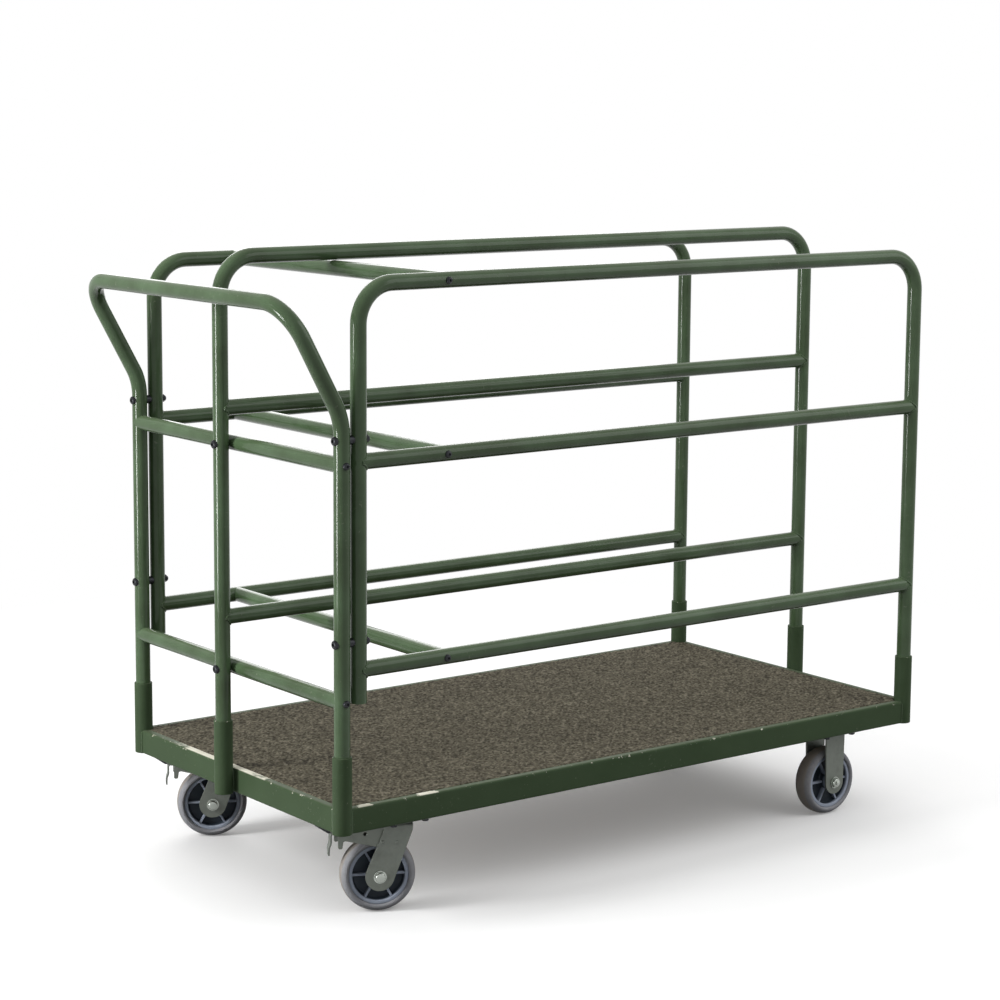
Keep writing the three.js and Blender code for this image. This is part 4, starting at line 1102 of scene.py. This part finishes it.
def both_sides(half):
    """A profile from one half, with its mirror image after it."""
    return half + [(r, -h, *hexed) for r, h, *hexed in reversed(half)]


def across(name, profile, x, z):
    """A turned piece that lies across the fork at a point of its side view."""
    mesh = turned(name, profile, **CROSS_PIECE)
    mesh.transform(Matrix.Translation((x, 0, z)) @ Matrix.Rotation(math.pi / 2, 4, "X"))
    return mesh


rivet_profile = both_sides(profiled(RIVET_HALF, FORK_HALF_WIDTH))
pin_profile = both_sides(profiled(PIN_HALF, BRACKET_OUTER))
roof_outline = [(x, -BRACKET_OUTER) for x in BRACKET_ROOF]
roof_outline += [(x, BRACKET_OUTER) for x in reversed(BRACKET_ROOF)]
for side in ("front", "back"):
    caster = f"{side}_swivel"
    node = f"swivel_race_{caster}"
    place = Matrix.Translation((*casters[caster][0], 0))
    mesh = turned(node, race_profile, crease=RACE_CREASE)
    fit(f"{node}_turned", mesh, dull_zinc, "cart", "zinc_steel", node, place=place)

    strip = fork_strip(caster, crown_top, CROWN_FRONT, CROWN_REAR, TRAIL, SWIVEL_BOSS, RAKE)
    roof = slab(caster, roof_outline, bracket_top - ROOF_GAUGE, bracket_top)
    roof = through(caster, roof, rounding(ROOF_EASE))
    walls = [bracket_wall(caster, -BRACKET_INNER), bracket_wall(caster, BRACKET_OUTER)]
    pin = across(caster, pin_profile, pedal_pivot.x, pedal_pivot.z)
    rivets = [across(caster, rivet_profile, x, z) for x, z in RIVETS]
    mesh = joined(caster, strip, roof, *walls, pin, *rivets)
    node = f"fork_{caster}"
    body = f"{side}_swivel_fork"
    fit(f"{node}_pressed", mesh, dull_zinc, body, "zinc_steel", node, place=caster_place(caster))


# Wheels: a moulded core of blue-grey plastic, with a thin web and ribs between hub and rim,
# and a fat tyre of soft grey rubber moulded round the rim. The wheel turns on its axle bolt.
RIB_COUNT = 6
RIB_SIZE = (36 * MM, 4.6 * MM, 25 * MM)
RIB_MIDDLE = 35.5 * MM
CORE_EASE = 0.7 * MM
WHEEL_SIDES = 72
TYRE_CREASE = 40
CORE_CREASE = 30
AXLE_SIDES = 36
AXLE_CREASE = 28
# half profiles in millimetres from the middle of the wheel outwards, and which of their points are marked
CORE_HALF = [(60, 16.6), (59, 18), (54.4, 18), (53, 17), (52, 11), (51.6, 5), (50, 3), (22, 3), (19.6, 5)]
CORE_HALF += [(19, 12), (18.6, 24.6), (17.6, 25.5), (5.5, 25.5)]
# the core's outer edges, left out of the painted shade that darkens its pockets and ribs
UNSHADED_CORE = (0, 1, 2, 3, 10, 11, 12)
TYRE_HALF = [(75.62, 0.5), (75.55, 3.5), (75.3, 7), (74.6, 10.8), (73.2, 14.6), (71.2, 17.8), (68.8, 20.3)]
TYRE_HALF += [(66.2, 21.7), (64, 21.9), (62, 21), (60.9, 19.5), (60.2, 18.2)]
ROLLED_TREAD = (0, 1, 2, 3)
# heights from the outside of the fork: the bolt's end, then a nut with a round crown, a washer, and inside
# the fork the shank and a spacer
BOLT_END = [(0, 12.5), (3.6, 12.5), (4.6, 11.6), (4.6, 9)]
AXLE_NUT = arc((7, 6), 3, 90, 0, 5) + [(10, 6, "hex"), (10, 1.8, "hex"), (13, 1.8), (13, 0)]
AXLE_SHANK = [(5, 0), (5, -4.7), (9, -4.7), (9, -7.2), (5, -7.2)]
HEAD_TOP = (0, -9)  # closes the head, on the far side of the fork

core_plastic, tree, place = blank_material("moulded_grey_polypropylene")
# moulded plastic: even, a little waxy, with grey dust in clouds of about 15 mm
cloud = add(tree, "ShaderNodeTexNoise", {"Vector": place, "Scale": 1 / 0.015, "Detail": 4})
colour = add(tree, "ShaderNodeMix", {0: cloud, 6: linear("#9aa4b8"), 7: linear("#bcc5d2")}, data_type="RGBA")
# painted shade: the pockets between the ribs are painted near black for the shade that falls in them, and only
# the outer edges keep the plastic's own colour
unshaded = add(tree, "ShaderNodeAttribute", attribute_name="edge_wear").outputs["Fac"]
colour = add(tree, "ShaderNodeMix", {0: unshaded, 6: linear("#2c343c"), 7: colour}, data_type="RGBA")
grit = add(tree, "ShaderNodeTexNoise", {"Vector": place, "Scale": 1 / 0.0012, "Detail": 1})
gloss = add(tree, "ShaderNodeMapRange", {0: cloud, 1: 0.3, 2: 0.7, 3: 0.4, 4: 0.58})
surface(tree, {"Base Color": colour, "Roughness": gloss, "Specular IOR Level": 0.2}, grit, 0.2)

tyre_rubber, tree, place = blank_material("grey_thermoplastic_rubber")
# soft rubber: matt, mottled with floor dirt in patches of about 12 mm, with grit marks of 2 mm
dirt = add(tree, "ShaderNodeTexNoise", {"Vector": place, "Scale": 1 / 0.012, "Detail": 5, "Roughness": 0.65})
colour = add(tree, "ShaderNodeMix", {0: dirt, 6: linear("#84858a"), 7: linear("#a6a7ab")}, data_type="RGBA")
# the tread has picked up brown dust where it rolls
tread = add(tree, "ShaderNodeAttribute", attribute_name="edge_wear").outputs["Fac"]
dusty = add(tree, "ShaderNodeMath", {0: tread, 1: 0.65}, operation="MULTIPLY")
colour = add(tree, "ShaderNodeMix", {0: dusty, 6: colour, 7: linear("#a0968a")}, data_type="RGBA")
mark = add(tree, "ShaderNodeTexNoise", {"Vector": place, "Scale": 1 / 0.002, "Detail": 2})
colour = tinted(tree, colour, "#66625c", mark, (0.62, 0.72), 0.35)
surface(tree, {"Base Color": colour, "Roughness": 0.72, "Specular IOR Level": 0.3}, mark, 0.3, 0.3 * MM)

ribbed, given = recipe("wheel ribs", {"Rib Count": "Int", "Rib Middle": "Float", "Rib Size": "Vector"})
spread = {"Vertices": given["Rib Count"], "Radius": given["Rib Middle"]}
spread = add(ribbed, "GeometryNodeMeshCircle", spread)
bar = add(ribbed, "GeometryNodeMeshCube", {"Size": given["Rib Size"], "Vertices Z": 3})
# painted shade: a rib's two outer edges keep the plastic's colour, and its middle is painted as dark as the
# shaded pockets
deep = add(ribbed, "GeometryNodeInputPosition")
deep = add(ribbed, "ShaderNodeVectorMath", {0: deep, 1: given["Rib Size"]}, operation="DIVIDE")
deep = add(ribbed, "ShaderNodeSeparateXYZ", {0: deep}).outputs["Z"]
deep = add(ribbed, "ShaderNodeMath", {0: deep}, operation="ABSOLUTE")
unshaded = add(ribbed, "ShaderNodeMath", {0: deep, 1: 2.0}, operation="MULTIPLY")
bar = {"Geometry": bar, "Name": "edge_wear", "Value": unshaded}
bar = add(ribbed, "GeometryNodeStoreNamedAttribute", bar, data_type="FLOAT", domain="POINT")
outward = add(ribbed, "GeometryNodeInputPosition")
aimed = add(ribbed, "FunctionNodeAlignRotationToVector", {"Vector": outward}, axis="X")
placed = add(ribbed, "GeometryNodeInstanceOnPoints", {"Points": spread, "Instance": bar, "Rotation": aimed})
whole = add(ribbed, "GeometryNodeJoinGeometry", {"Geometry": given["Geometry"]})
ribbed.links.new(placed.outputs["Instances"], whole.inputs["Geometry"])
served(ribbed, given, whole)


def wheel_part(name, half, marks, crease):
    """A turned part of a wheel from half its profile, with the marked points and their twins flagged: the dusty
    tread of a tyre, and the edges of a core that stay out of its painted shade.
    """
    twins = [2 * len(half) - 1 - i for i in marks]
    return turned(name, both_sides(profiled(half)), WHEEL_SIDES, crease, [*marks, *twins])


half_axle = profiled(AXLE_NUT + AXLE_SHANK, FORK_HALF_WIDTH)
axle_profile = profiled(BOLT_END, FORK_HALF_WIDTH) + both_sides(half_axle)
axle_profile += profiled([HEAD_TOP], -FORK_HALF_WIDTH)
sizes = {"Rib Count": RIB_COUNT, "Rib Middle": RIB_MIDDLE, "Rib Size": RIB_SIZE, "Material": core_plastic}
for caster in casters:
    swivels = caster.endswith("swivel")
    wheel_body = f"{caster}_wheel"
    axle_body = f"{caster}_fork" if swivels else "cart"
    axle_middle = Matrix.Translation((TRAIL if swivels else 0, 0, AXLE_HEIGHT))
    on_axle = caster_place(caster) @ axle_middle @ Matrix.Rotation(math.pi / 2, 4, "X")

    tyre = wheel_part(caster, TYRE_HALF, ROLLED_TREAD, TYRE_CREASE)
    node = f"tyre_{caster}"
    fit(f"{node}_moulded", tyre, tyre_rubber, wheel_body, "tyre_rubber", node, place=on_axle)

    core = wheel_part(caster, CORE_HALF, UNSHADED_CORE, CORE_CREASE)
    core = through(caster, core, (ribbed, sizes), rounding(CORE_EASE))
    node = f"wheel_core_{caster}"
    fit(f"{node}_moulded", core, core_plastic, wheel_body, "wheel_plastic", node, place=on_axle)

    axle = turned(caster, axle_profile, AXLE_SIDES, AXLE_CREASE)
    node = f"axle_bolt_{caster}"
    fit(f"{node}_turned", axle, bright_zinc, axle_body, "zinc_steel", node, place=on_axle)


# Brake pedals: a bent plate on a rolled barrel, on a pin between the walls of the fork's bracket.
# Its toe rises behind the wheel under a black cover, and a narrower hook hangs from it to lift the brake off.
PEDAL_GAUGE = 3.6 * MM
COVER_GAUGE = 6.4 * MM
EASE_SHARE = 0.22  # of a plate's gauge, for its edges
BARREL_HALF = [(2.6, -24), (5, -24)]
# side views as (x, z, half width) from the pin, in millimetres
ARM_LINE = [(0, 2.2, 17), (20, 2.2, 17), (29, 2.6, 17), (34, 4.0, 17), (45, 10.0, 17), (64.6, 21.2, 9)]
HOOK_LINE = [(29, 2.2, 12), (33.4, 0.6, 12), (35, -3, 12), (35, -17, 12), (36, -22, 11), (38, -27, 10)]
HOOK_LINE += [(38.6, -32, 9), (38.6, -44, 7.5)]
COVER_LINE = [(38, 6.2, 17.6), (45, 10.1, 17.6), (65.6, 21.9, 8.6)]


def bent_plate(name, line, gauge):
    """A plate that follows a side view, with its half width at each point."""
    points = [(x * MM, sign * half * MM, z * MM) for sign in (-1, 1) for x, z, half in line]
    count = len(line)
    sheet = bpy.data.meshes.new(name)
    sheet.from_pydata(points, [], [(i, i + 1, count + i + 1, count + i) for i in range(count - 1)])
    sheet.shade_smooth()
    return through(name, sheet, ("SOLIDIFY", {"thickness": gauge, "offset": 0}), rounding(gauge * EASE_SHARE))


for side in ("front", "back"):
    body = f"{side}_brake_pedal"
    on_pin = caster_place(f"{side}_swivel") @ Matrix.Translation(pedal_pivot)
    barrel = across(body, both_sides(profiled(BARREL_HALF)), 0, 0)
    arm = bent_plate(body, ARM_LINE, PEDAL_GAUGE)
    hook = bent_plate(body, HOOK_LINE, PEDAL_GAUGE)
    node = f"brake_pedal_{side}"
    mesh = joined(body, arm, hook, barrel)
    fit(f"{node}_bent", mesh, dull_zinc, body, "zinc_steel", node, place=on_pin)
    cover = bent_plate(body, COVER_LINE, COVER_GAUGE)
    fit(f"brake_toe_{side}_cover", cover, black_steel, body, "black_steel", place=on_pin)
